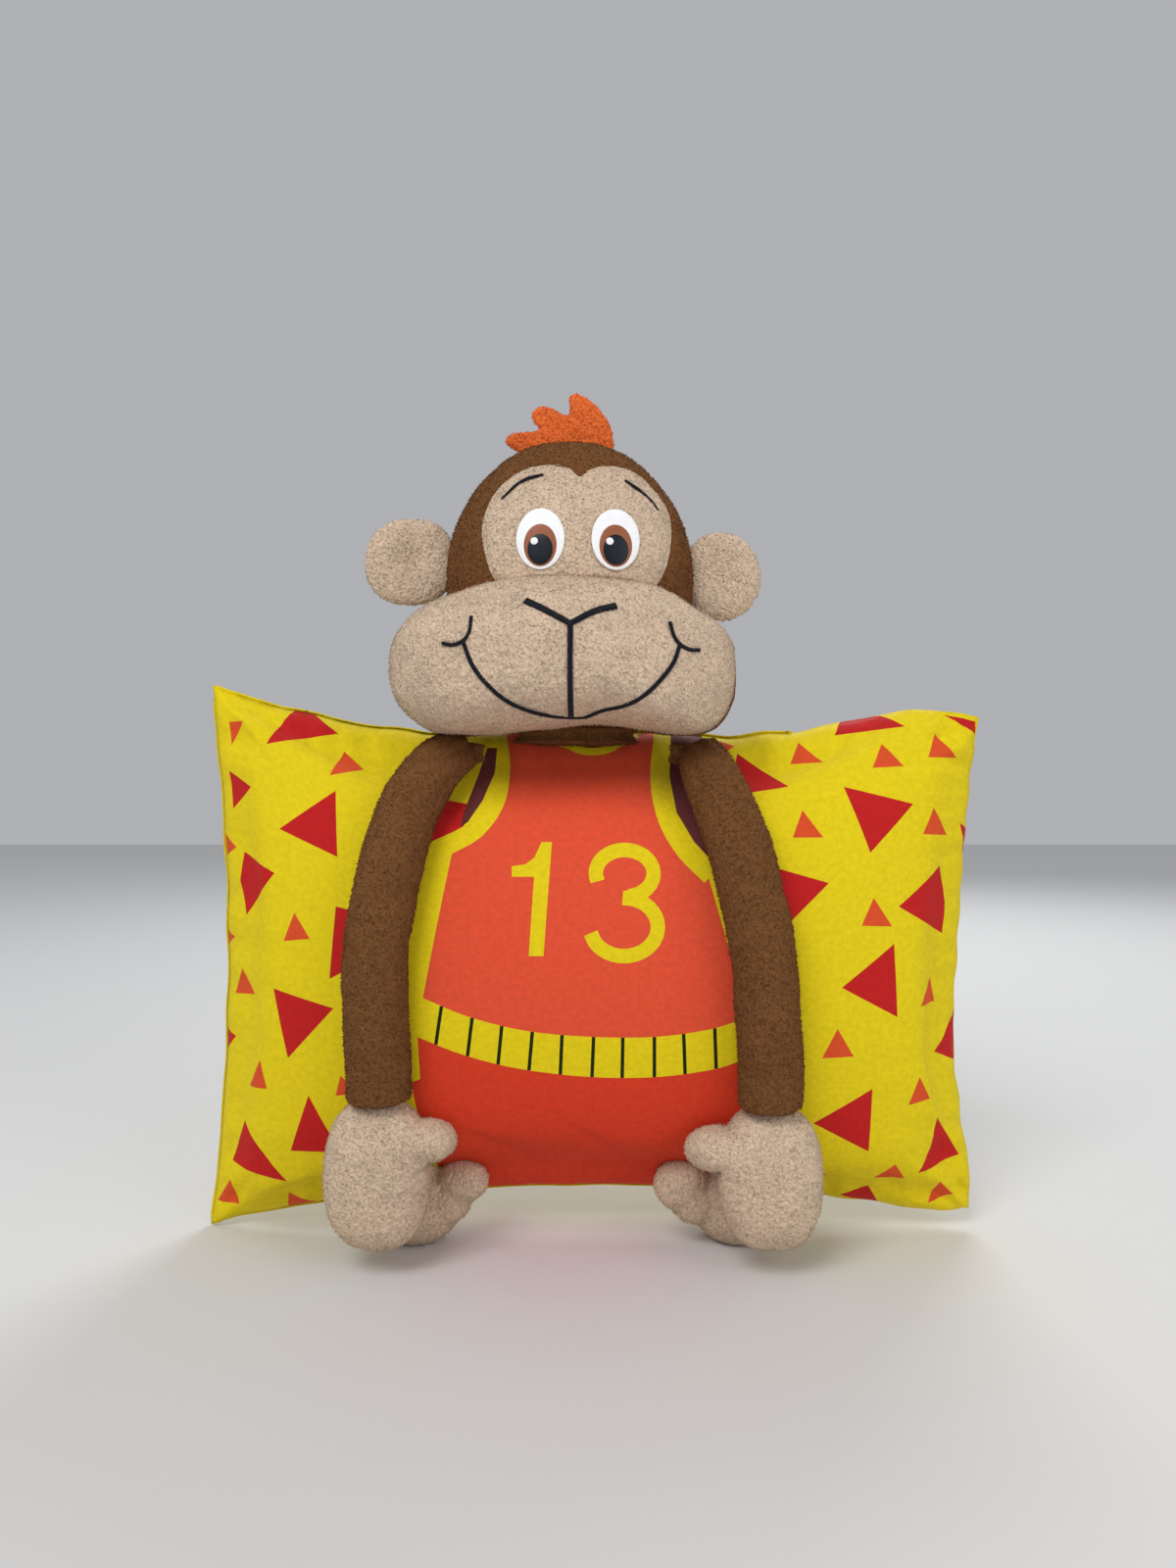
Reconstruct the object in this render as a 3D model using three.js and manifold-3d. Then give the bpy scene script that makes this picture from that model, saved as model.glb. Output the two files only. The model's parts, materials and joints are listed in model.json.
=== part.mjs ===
// A stuffed monkey on a rectangular pillow: a printed cotton cover over a fibre-filled insert,
// with a plush head, two hanging arms and two feet sewn on.
// Millimetres, +Z up. The toy stands on its feet and the pillow's lower corners, facing -Y.
import * as THREE from 'three';
import * as BufferGeometryUtils from 'three/addons/utils/BufferGeometryUtils.js';
import Module from 'manifold-3d';

const wasm = await Module();
wasm.setup();

// ---- Driving dimensions ----

// Pillow, filled: seam outline and thickness
const pillowWidth = 430;
const pillowHeight = 301;
const pillowThickness = 118;
const topDip = 33;
const bottomRise = 23;
const sideDip = 10;
const coverCloth = 1.0;
const insertEase = 2.4;
const insertInset = 8;
const openingFromCentre = 88;
const flapOverlap = 34;

// How far the figure sits to the toy's right-hand side of the pillow's middle
const figureShift = 10;

// Head
const headShift = 4;
const skullWidth = 134;
const skullDepth = 100;
const skullHeight = 156;
const skullForward = 15;
const skullAboveChin = 3;
const skullFullness = 2.3;
const backSeamBehindMiddle = 6;
const chinAboveSeam = 4;
const fleece = 1.8;
const faceWidth = 94;
const faceTop = 60;
const faceNotch = 6;
const faceNotchWidth = 36;
const faceShift = 5;
const templeAboveEyes = 10;
const faceEdgeForward = 8;
const muzzleWidth = 178;
const muzzleHeight = 78;
const muzzleDepth = 94;
const muzzleForward = 48;
const muzzleShift = 3;
const muzzleFullness = 2.4;
const neckTabWidth = 48;
const neckTabDepth = 16;

// Eyes, centre distance and the four layers of each
const eyeSpacing = 38;
const eyeAboveSkullCentre = 17;
const eyeLayers = [
  { name: 'white', width: 24.5, height: 31.5, drop: 0 },
  { name: 'iris', width: 16.6, height: 21.6, drop: 3.4 },
  { name: 'pupil', width: 12.7, height: 15.5, drop: 5.6 },
  { name: 'glint', width: 3.8, height: 3.8, drop: 1.5 },
];
const eyeFilm = 0.5;
const glintInset = 3;

// Embroidered lines
const browSpan = 20;
const browRise = 12;
const browWidth = 2.2;
const browAboveEye = 27;
const noseShift = 3;
const noseAboveMuzzle = 12;
const noseSpan = 43;
const noseRise = 11;
const noseWidth = 3;
const smileSpan = 104;
const smileDrop = 34;
const smileWidth = 2.4;
const lipAboveMuzzleFoot = 9;
const cheekSpan = 14;
const cheekRise = 13;
const cheekAboveSmile = 3;
const threadPile = 0.7;

// Ears and hair tuft
const earWidth = 50;
const earHeight = 44;
const earThickness = 9;
const earAboveSkullCentre = 13;
const earBehindMiddle = 2;
const tuftWidth = 50;
const tuftShift = 5;
const tuftSink = 2;
const tuftBehindMiddle = 4;
const tuftHeight = 33;
const tuftLayer = 3;

// Arms
const sleeveRadius = 16.5;
const shoulderHalfSpan = 61;
const armHalfSpan = 96;
const shoulderBelowSeam = 6;
const elbowShare = 0.552;
const wristHeight = 88;
const handWidth = 53;
const handHeight = 77;
const handThickness = 38;
const thumbLength = 17;
const thumbRadius = 11;
const thumbAboveMiddle = 4;
const handFullness = 2.5;
const tabWidth = 26;
const tabHeight = 12;
const tabThickness = 6;
const pinchLength = 34;
const pinchShare = 0.5;

// Feet
const footHalfSpan = 92;
const footWidth = 46;
const footLength = 60;
const footHeight = 40;
const footForward = 9;
const footFullness = 2.4;
const soleCut = 8;
const toeRadius = 12;
const toeLength = 41;
const toeReach = 21;
const toeCentreHeight = 25;
const toeForward = 31;

// Clearances
const touching = 0.3;
const stuffingGap = 0.7;
const flapGap = 1.4;
const rubbing = 1.0;
const bending = 3.0;
const heelRoom = 4.5;

// ---- Materials ----

function cloth(color, roughness) {
  return new THREE.MeshStandardMaterial({ color, roughness, metalness: 0 });
}

const printedCotton = cloth(0xf2d40c, 0.8);
const pillowFibre = cloth(0xf4f2ea, 0.95);
const brownFleece = cloth(0x7a4a22, 0.95);
const beigeFleece = cloth(0xdcbc9c, 0.95);
const orangeFleece = cloth(0xf0682c, 0.95);
const eyeWhite = cloth(0xf8f8f6, 0.35);
const eyeBrown = cloth(0x9a5a3a, 0.35);
const eyeBlack = cloth(0x101722, 0.3);
const darkThread = cloth(0x14161f, 0.6);

const toy = new THREE.Group();

function addSolid(name, solid, material) {
  const cut = solid.getMesh();
  const geometry = new THREE.BufferGeometry();
  const places = new Float32Array(cut.numVert * 3);
  for (let i = 0; i < cut.numVert; i += 1) {
    for (let axis = 0; axis < 3; axis += 1) {
      places[3 * i + axis] = cut.vertProperties[cut.numProp * i + axis];
    }
  }
  geometry.setAttribute('position', new THREE.BufferAttribute(places, 3));
  geometry.setIndex(new THREE.BufferAttribute(new Uint32Array(cut.triVerts), 1));
  geometry.computeVertexNormals();
  const mesh = new THREE.Mesh(geometry, material);
  mesh.name = name;
  toy.add(mesh);
}

// A closed three.js geometry as a solid that can be joined and cut
function solidOf(geometry) {
  const bare = geometry.clone();
  bare.deleteAttribute('normal');
  bare.deleteAttribute('uv');
  const merged = BufferGeometryUtils.mergeVertices(bare, 1e-4);
  return new wasm.Manifold(new wasm.Mesh({
    numProp: 3,
    vertProperties: Float32Array.from(merged.attributes.position.array),
    triVerts: Uint32Array.from(merged.index.array),
  }));
}

// Moves every vertex of a geometry to the place that a function gives for it
function reshape(geometry, place) {
  const points = geometry.attributes.position;
  const point = new THREE.Vector3();
  for (let i = 0; i < points.count; i += 1) {
    point.fromBufferAttribute(points, i);
    const moved = place(point.x, point.y, point.z);
    points.setXYZ(i, moved[0], moved[1], moved[2]);
  }
  return geometry;
}

// A stuffed, slightly boxy ball: fullness 2 is an ellipsoid, more is squarer
function stuffed(centre, size, grow, fullness, around, down) {
  const radii = size.map((side) => side / 2 + grow);
  return solidOf(reshape(new THREE.SphereGeometry(1, around, down), (x, y, z) => {
    // the sphere's poles lie on Y, so Y and Z change places
    const length = (Math.abs(x) ** fullness + Math.abs(y) ** fullness
      + Math.abs(z) ** fullness) ** (1 / fullness);
    return [
      centre[0] + (radii[0] * x) / length,
      centre[1] - (radii[1] * z) / length,
      centre[2] + (radii[2] * y) / length,
    ];
  }));
}

function box(low, high) {
  const size = high.map((value, axis) => value - low[axis]);
  const block = new THREE.BoxGeometry(...size);
  block.translate(...high.map((value, axis) => (value + low[axis]) / 2));
  return solidOf(block);
}

const FAR = 600;

function inFrontOf(y) {
  return box([-FAR, -FAR, -FAR], [FAR, y, FAR]);
}

function behind(y) {
  return box([-FAR, y, -FAR], [FAR, FAR, FAR]);
}

// A flat outline in X and Z, run through along Y from the front as far as a given depth
function runThrough(outline, front, back) {
  const slab = new THREE.ExtrudeGeometry(outline, {
    depth: back - front, bevelEnabled: false, curveSegments: 8,
  });
  slab.rotateX(Math.PI / 2);
  slab.translate(0, back, 0);
  return solidOf(slab);
}

// A thread line: a curve through a few points, widened to the line's width
function threadLine(points, width) {
  const curve = new THREE.SplineCurve(points.map((point) => new THREE.Vector2(...point)));
  const steps = Math.max(3, points.length * 3 - 3);
  const left = [];
  const right = [];
  for (let i = 0; i <= steps; i += 1) {
    const at = curve.getPoint(i / steps);
    const along = curve.getTangent(i / steps);
    left.push(new THREE.Vector2(at.x - (along.y * width) / 2, at.y + (along.x * width) / 2));
    right.unshift(new THREE.Vector2(at.x + (along.y * width) / 2, at.y - (along.x * width) / 2));
  }
  return new THREE.Shape([...left, ...right]);
}

// ---- Pillow: insert, front panel and an envelope back of two overlapping panels ----

const halfWidth = pillowWidth / 2;
const seamMiddle = pillowHeight / 2;

function topEdge(u) {
  return pillowHeight - topDip * (1 - u * u);
}

function bottomEdge(u) {
  return bottomRise * Math.max(0, 1 - u * u) ** 0.8;
}

// Pillow coordinates u across and v up, both -1 to 1, to X and Z on the seam plane
function onSeamPlane(u, v) {
  const x = u * (halfWidth - sideDip * (1 - v * v));
  const z = bottomEdge(u) + ((v + 1) / 2) * (topEdge(u) - bottomEdge(u));
  return [x, z];
}

function halfThickness(u, v) {
  const across = Math.max(0, 1 - Math.abs(u) ** 2.6) ** 0.6;
  const upwards = Math.max(0, 1 - v * v) ** 0.55;
  return (pillowThickness / 2 - coverCloth) * across * upwards;
}

// The pillow's half thickness, cover included, at a place X, Z on the seam plane
function pillowFront(x, z) {
  let u = x / halfWidth;
  let v = z / seamMiddle - 1;
  for (let i = 0; i < 8; i += 1) {
    const [seenX, seenZ] = onSeamPlane(u, v);
    u = Math.min(1, Math.max(-1, u + (x - seenX) / halfWidth));
    v = Math.min(1, Math.max(-1, v + (z - seenZ) / seamMiddle));
  }
  return halfThickness(u, v) + touching / 2 + coverCloth;
}

// Rows and columns lie closer together towards the seams, where the pillow curves most
function towardsSeams(share) {
  return Math.sin((share * Math.PI) / 2);
}

// A closed sheet between two surfaces, near in front of far. Both are drawn on one grid with the
// same diagonals, so that they never cross.
function sheetBetween(columns, rows, near, far) {
  const points = [];
  for (const surface of [near, far]) {
    for (let j = 0; j <= rows; j += 1) {
      for (let i = 0; i <= columns; i += 1) {
        points.push(...surface(i / columns, j / rows));
      }
    }
  }
  const layer = (columns + 1) * (rows + 1);
  const at = (back, i, j) => back * layer + j * (columns + 1) + i;
  const index = [];
  const quad = (a, b, c, d) => index.push(a, b, c, a, c, d);
  for (let j = 0; j < rows; j += 1) {
    for (let i = 0; i < columns; i += 1) {
      quad(at(0, i, j), at(0, i + 1, j), at(0, i + 1, j + 1), at(0, i, j + 1));
      quad(at(1, i + 1, j + 1), at(1, i + 1, j), at(1, i, j), at(1, i, j + 1));
    }
    quad(at(0, 0, j), at(0, 0, j + 1), at(1, 0, j + 1), at(1, 0, j));
    quad(at(1, columns, j), at(1, columns, j + 1), at(0, columns, j + 1), at(0, columns, j));
  }
  for (let i = 0; i < columns; i += 1) {
    quad(at(1, i, 0), at(1, i + 1, 0), at(0, i + 1, 0), at(0, i, 0));
    quad(at(0, i, rows), at(0, i + 1, rows), at(1, i + 1, rows), at(1, i, rows));
  }
  const geometry = new THREE.BufferGeometry();
  geometry.setAttribute('position', new THREE.Float32BufferAttribute(points, 3));
  geometry.setIndex(index);
  return solidOf(geometry);
}

// One layer of the pillow: side -1 is the front and 1 the back, from one lift off the stuffing
// to another, between two u values
function pillowLayer(side, fromLift, toLift, fromU, toU) {
  const fromShare = Math.asin(fromU) / (Math.PI / 2);
  const toShare = Math.asin(toU) / (Math.PI / 2);
  const columns = Math.max(3, Math.round((toShare - fromShare) * 7));
  const surface = (lift) => (across, upwards) => {
    const u = towardsSeams(fromShare + across * (toShare - fromShare));
    const v = towardsSeams(2 * upwards - 1);
    const [x, z] = onSeamPlane(u, v);
    return [x, side * (halfThickness(u, v) + lift), z];
  };
  const [near, far] = side < 0 ? [toLift, fromLift] : [fromLift, toLift];
  return sheetBetween(columns, 10, surface(near), surface(far));
}

const stuffing = solidOf(reshape(new THREE.BoxGeometry(2, 2, 2, 12, 1, 10), (a, b, c) => {
  const u = towardsSeams(a) * (1 - insertInset / halfWidth);
  const v = towardsSeams(c) * (1 - insertInset / seamMiddle);
  const [x, z] = onSeamPlane(u, v);
  return [x, b * Math.max(0.5, halfThickness(u, v) - insertEase), z];
}));
addSolid('pillow_insert', stuffing, pillowFibre);

const clothTop = touching / 2 + coverCloth;
addSolid('cover_front', pillowLayer(-1, touching / 2, clothTop, -1, 1), printedCotton);

const mainEdge = (openingFromCentre + flapOverlap / 2) / halfWidth;
const flapEdge = (openingFromCentre - flapOverlap / 2) / halfWidth;
const mainLift = clothTop + flapGap;
const backMain = pillowLayer(1, mainLift, mainLift + coverCloth, -1, mainEdge);
const backFlap = pillowLayer(1, touching / 2, clothTop, flapEdge, 1);
addSolid('cover_back_main', backMain, printedCotton);
addSolid('cover_back_flap', backFlap, printedCotton);

// What the sewn-on pieces keep clear of: the whole pillow, grown by a clearance
function pillowWith(clearance) {
  return solidOf(reshape(new THREE.BoxGeometry(2, 2, 2, 16, 1, 12), (a, b, c) => {
    const u = towardsSeams(a);
    const v = towardsSeams(c);
    const [x, z] = onSeamPlane(u, v);
    const spread = 1 + clearance / seamMiddle;
    const lift = halfThickness(u, v) + clothTop * 2 + flapGap + clearance;
    return [x * spread, b * lift, seamMiddle + (z - seamMiddle) * spread];
  }));
}

// ---- Head: stuffed skull in brown and beige fleece, and a cushion muzzle ----

const figureX = -figureShift;
const headX = figureX - headShift;
const neckSeam = topEdge(headX / halfWidth);
const chinHeight = neckSeam + chinAboveSeam;
const skullSize = [skullWidth, skullDepth, skullHeight];
const skullCentre = [headX, -skullForward, chinHeight + skullAboveChin + skullHeight / 2];
const muzzleSize = [muzzleWidth, muzzleDepth, muzzleHeight];
const muzzleCentre = [headX - muzzleShift, -muzzleForward, chinHeight + muzzleHeight / 2];
const eyeHeight = skullCentre[2] + eyeAboveSkullCentre;

function skull(grow) {
  return stuffed(skullCentre, skullSize, grow, skullFullness, 18, 12);
}

function muzzle(grow) {
  return stuffed(muzzleCentre, muzzleSize, grow, muzzleFullness, 16, 10);
}

// The beige face: two round lobes over the eyes with a notch between them
function faceOutline(grow) {
  const middle = headX + faceShift;
  const half = faceWidth / 2 + grow;
  const top = skullCentre[2] + faceTop + grow;
  const temple = eyeHeight + templeAboveEyes;
  const notchHalf = faceNotchWidth / 2;
  const low = skullCentre[2] - skullHeight / 4 - grow;
  const outline = new THREE.Shape();
  outline.moveTo(middle - half, low);
  outline.lineTo(middle + half, low);
  outline.lineTo(middle + half, temple);
  outline.quadraticCurveTo(middle + half, top, middle + notchHalf, top);
  outline.quadraticCurveTo(middle + notchHalf / 3, top, middle, top - faceNotch);
  outline.quadraticCurveTo(middle - notchHalf / 3, top, middle - notchHalf, top);
  outline.quadraticCurveTo(middle - half, top, middle - half, temple);
  outline.closePath();
  return outline;
}

const skullSkin = skull(0).subtract(skull(-fleece));
const faceEdge = -skullForward - faceEdgeForward;
const facePrism = runThrough(faceOutline(0), -FAR, faceEdge);
const facePrismWide = runThrough(faceOutline(touching), -FAR, faceEdge + touching);
const backSeam = -skullForward + backSeamBehindMiddle;
addSolid('skull_fill', skull(-fleece - touching), pillowFibre);
addSolid('face_panel', skullSkin.intersect(facePrism), beigeFleece);
addSolid('head_front', skullSkin.intersect(inFrontOf(backSeam)).subtract(facePrismWide), brownFleece);
addSolid('head_back', skullSkin.intersect(behind(backSeam + touching)), brownFleece);

const skullClear = skull(touching);
const muzzleSkin = muzzle(0).subtract(muzzle(-fleece)).subtract(skullClear);
addSolid('muzzle_fill', muzzle(-fleece - touching).subtract(skullClear), pillowFibre);
addSolid('muzzle_front', muzzleSkin.intersect(inFrontOf(muzzleCentre[1])), beigeFleece);
addSolid('muzzle_back', muzzleSkin.intersect(behind(muzzleCentre[1] + touching)), brownFleece);

// A thin film that follows the skull or the muzzle inside an outline
function film(base, outline, from, to) {
  const prism = runThrough(outline, -FAR, faceEdge);
  return base(to).subtract(base(from)).intersect(prism);
}

function ellipse(x, z, width, height) {
  const outline = new THREE.Shape();
  outline.absellipse(x, z, width / 2, height / 2, 0, 2 * Math.PI);
  return outline;
}

// The toy's own right and left, as a wearer of the shirt would say
const sides = [
  { name: 'right', way: -1 },
  { name: 'left', way: 1 },
];
const faceMiddle = headX + faceShift;
const layerMaterial = { white: eyeWhite, iris: eyeBrown, pupil: eyeBlack, glint: eyeWhite };

for (const side of sides) {
  const eyeX = faceMiddle + (side.way * eyeSpacing) / 2;
  let from = touching;
  for (const layer of eyeLayers) {
    const x = layer.name === 'glint' ? eyeX - glintInset : eyeX;
    const outline = ellipse(x, eyeHeight - layer.drop, layer.width, layer.height);
    const shape = film(skull, outline, from, from + eyeFilm);
    addSolid(`eye_${layer.name}_${side.name}`, shape, layerMaterial[layer.name]);
    from += eyeFilm + touching;
  }
  const browFoot = eyeX + side.way * browSpan;
  const browBottom = eyeHeight + browAboveEye;
  const brow = threadLine([
    [browFoot, browBottom],
    [browFoot - side.way * browSpan * 0.5, browBottom + browRise * 0.75],
    [browFoot - side.way * browSpan, browBottom + browRise],
  ], browWidth);
  addSolid(`brow_${side.name}`, film(skull, brow, touching, touching + threadPile), darkThread);
}

// Nose, philtrum and smile are lines of satin stitch on the muzzle
const noseX = faceMiddle - noseShift;
const noseTip = muzzleCentre[2] + noseAboveMuzzle;
const lipLine = muzzleCentre[2] - muzzleHeight / 2 + lipAboveMuzzleFoot;
const nose = threadLine([
  [noseX - noseSpan / 2, noseTip + noseRise],
  [noseX - noseSpan / 4, noseTip + noseRise / 2],
  [noseX, noseTip],
  [noseX + noseSpan / 4, noseTip + noseRise / 2],
  [noseX + noseSpan / 2, noseTip + noseRise],
], noseWidth);
const philtrum = threadLine([[noseX, noseTip - noseWidth], [noseX, lipLine + noseWidth]], smileWidth);
const smile = threadLine([
  [noseX - smileSpan / 2, lipLine + smileDrop],
  [noseX - smileSpan * 0.38, lipLine + smileDrop * 0.38],
  [noseX - smileSpan * 0.2, lipLine + smileDrop * 0.06],
  [noseX, lipLine],
  [noseX + smileSpan * 0.2, lipLine + smileDrop * 0.06],
  [noseX + smileSpan * 0.38, lipLine + smileDrop * 0.38],
  [noseX + smileSpan / 2, lipLine + smileDrop],
], smileWidth);

function stitched(outline) {
  return film(muzzle, outline, touching, touching + threadPile);
}

addSolid('nose_stitching', stitched(nose), darkThread);
addSolid('philtrum_stitching', stitched(philtrum), darkThread);
addSolid('smile_stitching', stitched(smile), darkThread);
for (const side of sides) {
  const cheekX = noseX + (side.way * smileSpan) / 2;
  const cheekFoot = lipLine + smileDrop + cheekAboveSmile;
  const cheek = threadLine([
    [cheekX - side.way * cheekSpan * 0.3, cheekFoot + cheekRise],
    [cheekX + side.way * cheekSpan * 0.1, cheekFoot + cheekRise * 0.1],
    [cheekX + side.way * cheekSpan * 0.7, cheekFoot],
  ], smileWidth);
  addSolid(`cheek_stitching_${side.name}`, stitched(cheek), darkThread);
}

// Ears: two beige layers seamed round the rim, sewn on at the skull's sides
const earHeightUp = skullCentre[2] + earAboveSkullCentre;
for (const side of sides) {
  const rootX = skullCentre[0] + side.way * (skullWidth / 2 + rubbing);
  const centre = [rootX + side.way * (earWidth / 2), -skullForward + earBehindMiddle, earHeightUp];
  const ear = stuffed(centre, [earWidth, earThickness, earHeight], 0, 2, 12, 8);
  addSolid(`ear_front_${side.name}`, ear.intersect(inFrontOf(centre[1])), beigeFleece);
  addSolid(`ear_back_${side.name}`, ear.intersect(behind(centre[1] + touching)), beigeFleece);
}

// Hair tuft: two layers cut with three fingers, sewn into the seam over the forehead
function tuftOutline() {
  const left = headX + tuftShift - tuftWidth / 2;
  const foot = skullCentre[2] + skullHeight / 2 - tuftSink;
  const outline = new THREE.Shape();
  const along = (share) => left + share * tuftWidth;
  const up = (share) => foot + share * tuftHeight;
  outline.moveTo(along(0.08), up(0));
  outline.quadraticCurveTo(along(-0.2), up(0.25), along(-0.12), up(0.36));
  outline.quadraticCurveTo(along(0.02), up(0.42), along(0.22), up(0.38));
  outline.quadraticCurveTo(along(0.12), up(0.7), along(0.26), up(0.8));
  outline.quadraticCurveTo(along(0.42), up(0.78), along(0.52), up(0.62));
  outline.quadraticCurveTo(along(0.52), up(0.92), along(0.66), up(1));
  outline.quadraticCurveTo(along(0.98), up(0.85), along(1), up(0.36));
  outline.lineTo(along(1), up(0));
  outline.closePath();
  return outline;
}

const tuftSeam = -skullForward + tuftBehindMiddle;
const skullRubbing = skull(rubbing);
const tuftLayers = {
  tuft_front: runThrough(tuftOutline(), tuftSeam - tuftLayer, tuftSeam),
  tuft_back: runThrough(tuftOutline(), tuftSeam + touching, tuftSeam + touching + tuftLayer),
};
for (const [name, layer] of Object.entries(tuftLayers)) {
  addSolid(name, layer.subtract(skullRubbing), orangeFleece);
}

// Neck tab: folded fleece in the pillow's top seam that carries the head
const neckFoot = neckSeam + rubbing;
const neckTop = skullCentre[2] - skullHeight / 2 - rubbing;
const neck = new THREE.CylinderGeometry(1, 1, 1, 16);
neck.rotateX(Math.PI / 2);
neck.scale(neckTabWidth / 2, neckTabDepth / 2, neckTop - neckFoot);
neck.translate(headX, -skullForward, (neckTop + neckFoot) / 2);
addSolid('neck_tab', solidOf(neck), brownFleece);

// ---- Arms: a fleece sleeve in two lengths that meet at the bend, and a mitten hand ----

const shoulderHeight = neckSeam - shoulderBelowSeam;
const elbowHeight = shoulderHeight - elbowShare * (shoulderHeight - wristHeight);

// How far from the figure's middle line the arm hangs at a given height
function armSpan(z) {
  const share = Math.min(1, Math.max(0, (shoulderHeight - z) / (shoulderHeight - wristHeight)));
  return shoulderHalfSpan + (armHalfSpan - shoulderHalfSpan) * Math.sin((share * Math.PI) / 2) ** 0.62;
}

// The sleeve is pinched flat where it is sewn on and fills out below
function sleeveRadiusAt(z) {
  const share = Math.max(0, (shoulderHeight - z) / pinchLength);
  return sleeveRadius * Math.min(1, pinchShare + (1 - pinchShare) * share ** 0.7);
}

function armCentre(way, z) {
  const x = figureX + way * armSpan(z);
  return [x, -(pillowFront(x, z) + bending + sleeveRadiusAt(z)), z];
}

// A round length of arm between two heights
function limb(way, topZ, bottomZ, grow) {
  const rows = Math.max(3, Math.round((topZ - bottomZ) / 16));
  const rod = new THREE.CylinderGeometry(1, 1, 1, 14, rows);
  rod.rotateX(Math.PI / 2);
  return solidOf(reshape(rod, (x, y, height) => {
    const z = bottomZ + (height + 0.5) * (topZ - bottomZ);
    const centre = armCentre(way, z);
    const radius = sleeveRadiusAt(z) + grow;
    return [centre[0] + radius * x, centre[1] + radius * y, z];
  }));
}

const elbowGap = sleeveRadius * 0.5;
for (const side of sides) {
  const way = side.way;
  const sleeves = [
    { name: 'upper', top: shoulderHeight - tabHeight / 2 - bending, bottom: elbowHeight + elbowGap },
    { name: 'lower', top: elbowHeight - elbowGap, bottom: wristHeight + bending },
  ];
  for (const sleeve of sleeves) {
    const outer = limb(way, sleeve.top, sleeve.bottom, 0);
    const inner = limb(way, sleeve.top + 1, sleeve.bottom - 1, -fleece);
    const fill = limb(way, sleeve.top, sleeve.bottom, -fleece - stuffingGap);
    addSolid(`sleeve_${sleeve.name}_${side.name}`, outer.subtract(inner), brownFleece);
    addSolid(`arm_fill_${sleeve.name}_${side.name}`, fill, pillowFibre);
  }

  // Shoulder tab: the sleeve's flattened end, sewn to the pillow under the chin
  const tabX = figureX + way * shoulderHalfSpan;
  const tabTop = shoulderHeight + tabHeight / 2;
  const tabFront = pillowFront(tabX, shoulderHeight - tabWidth / 2);
  const tab = box(
    [tabX - tabWidth / 2, -tabFront - rubbing - tabThickness, shoulderHeight - tabHeight / 2 + rubbing],
    [tabX + tabWidth / 2, -tabFront - rubbing, tabTop],
  );
  addSolid(`shoulder_tab_${side.name}`, tab, brownFleece);

  // Mitten hand with its thumb turned inwards
  const handTop = wristHeight - bending;
  const wrist = armCentre(way, wristHeight);
  const handX = wrist[0];
  const handZ = handTop - handHeight / 2;
  const handY = -(pillowFront(handX, handZ + handHeight / 4) + bending + handThickness / 2);
  const thumbX = handX - way * (handWidth / 2 + thumbLength - thumbRadius);
  const palm = [handX, handY, handZ];
  const thumb = [thumbX, handY, handZ + thumbAboveMiddle];
  const thumbSize = [thumbRadius * 3, thumbRadius * 2, thumbRadius * 2];
  const mitten = (grow) => stuffed(palm, [handWidth, handThickness, handHeight], grow, handFullness, 12, 8)
    .add(stuffed(thumb, thumbSize, grow, 2, 8, 6));
  const handSkin = mitten(0).subtract(mitten(-fleece));
  addSolid(`hand_fill_${side.name}`, mitten(-fleece - touching), pillowFibre);
  addSolid(`hand_front_${side.name}`, handSkin.intersect(inFrontOf(handY)), beigeFleece);
  addSolid(`hand_back_${side.name}`, handSkin.intersect(behind(handY + touching)), beigeFleece);
}

// ---- Feet: flat-soled, tucked under the pillow's lower edge, big toe turned inwards ----

const pillowKeepOut = pillowWith(heelRoom);
const aboveFloor = box([-FAR, -FAR, 0], [FAR, FAR, FAR]);
for (const side of sides) {
  const way = side.way;
  const footX = figureX + way * footHalfSpan;
  const middle = [footX, -footForward, footHeight / 2 - soleCut];
  const toe = [footX - way * toeReach, -toeForward, toeCentreHeight];
  const toeSize = [toeLength, toeRadius * 2, toeRadius * 2];
  const foot = (grow) => stuffed(middle, [footWidth, footLength, footHeight], grow, footFullness, 12, 8)
    .add(stuffed(toe, toeSize, grow, 2, 8, 6));
  const aboveSole = (grow) => foot(grow)
    .intersect(aboveFloor.translate([0, 0, -grow]))
    .subtract(pillowWith(heelRoom - grow));
  const footSkin = foot(0).intersect(aboveFloor).subtract(pillowKeepOut).subtract(aboveSole(-fleece));
  addSolid(`foot_fill_${side.name}`, aboveSole(-fleece - touching), pillowFibre);
  addSolid(`foot_front_${side.name}`, footSkin.intersect(inFrontOf(-footForward)), beigeFleece);
  addSolid(`foot_back_${side.name}`, footSkin.intersect(behind(-footForward + touching)), beigeFleece);
}

// The origin is the middle of the space that the toy takes up, on the surface it stands on
const extent = new THREE.Box3().setFromObject(toy);
toy.position.set(-(extent.min.x + extent.max.x) / 2, -(extent.min.y + extent.max.y) / 2, -extent.min.z);
toy.updateMatrixWorld(true);

export default toy;
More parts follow.
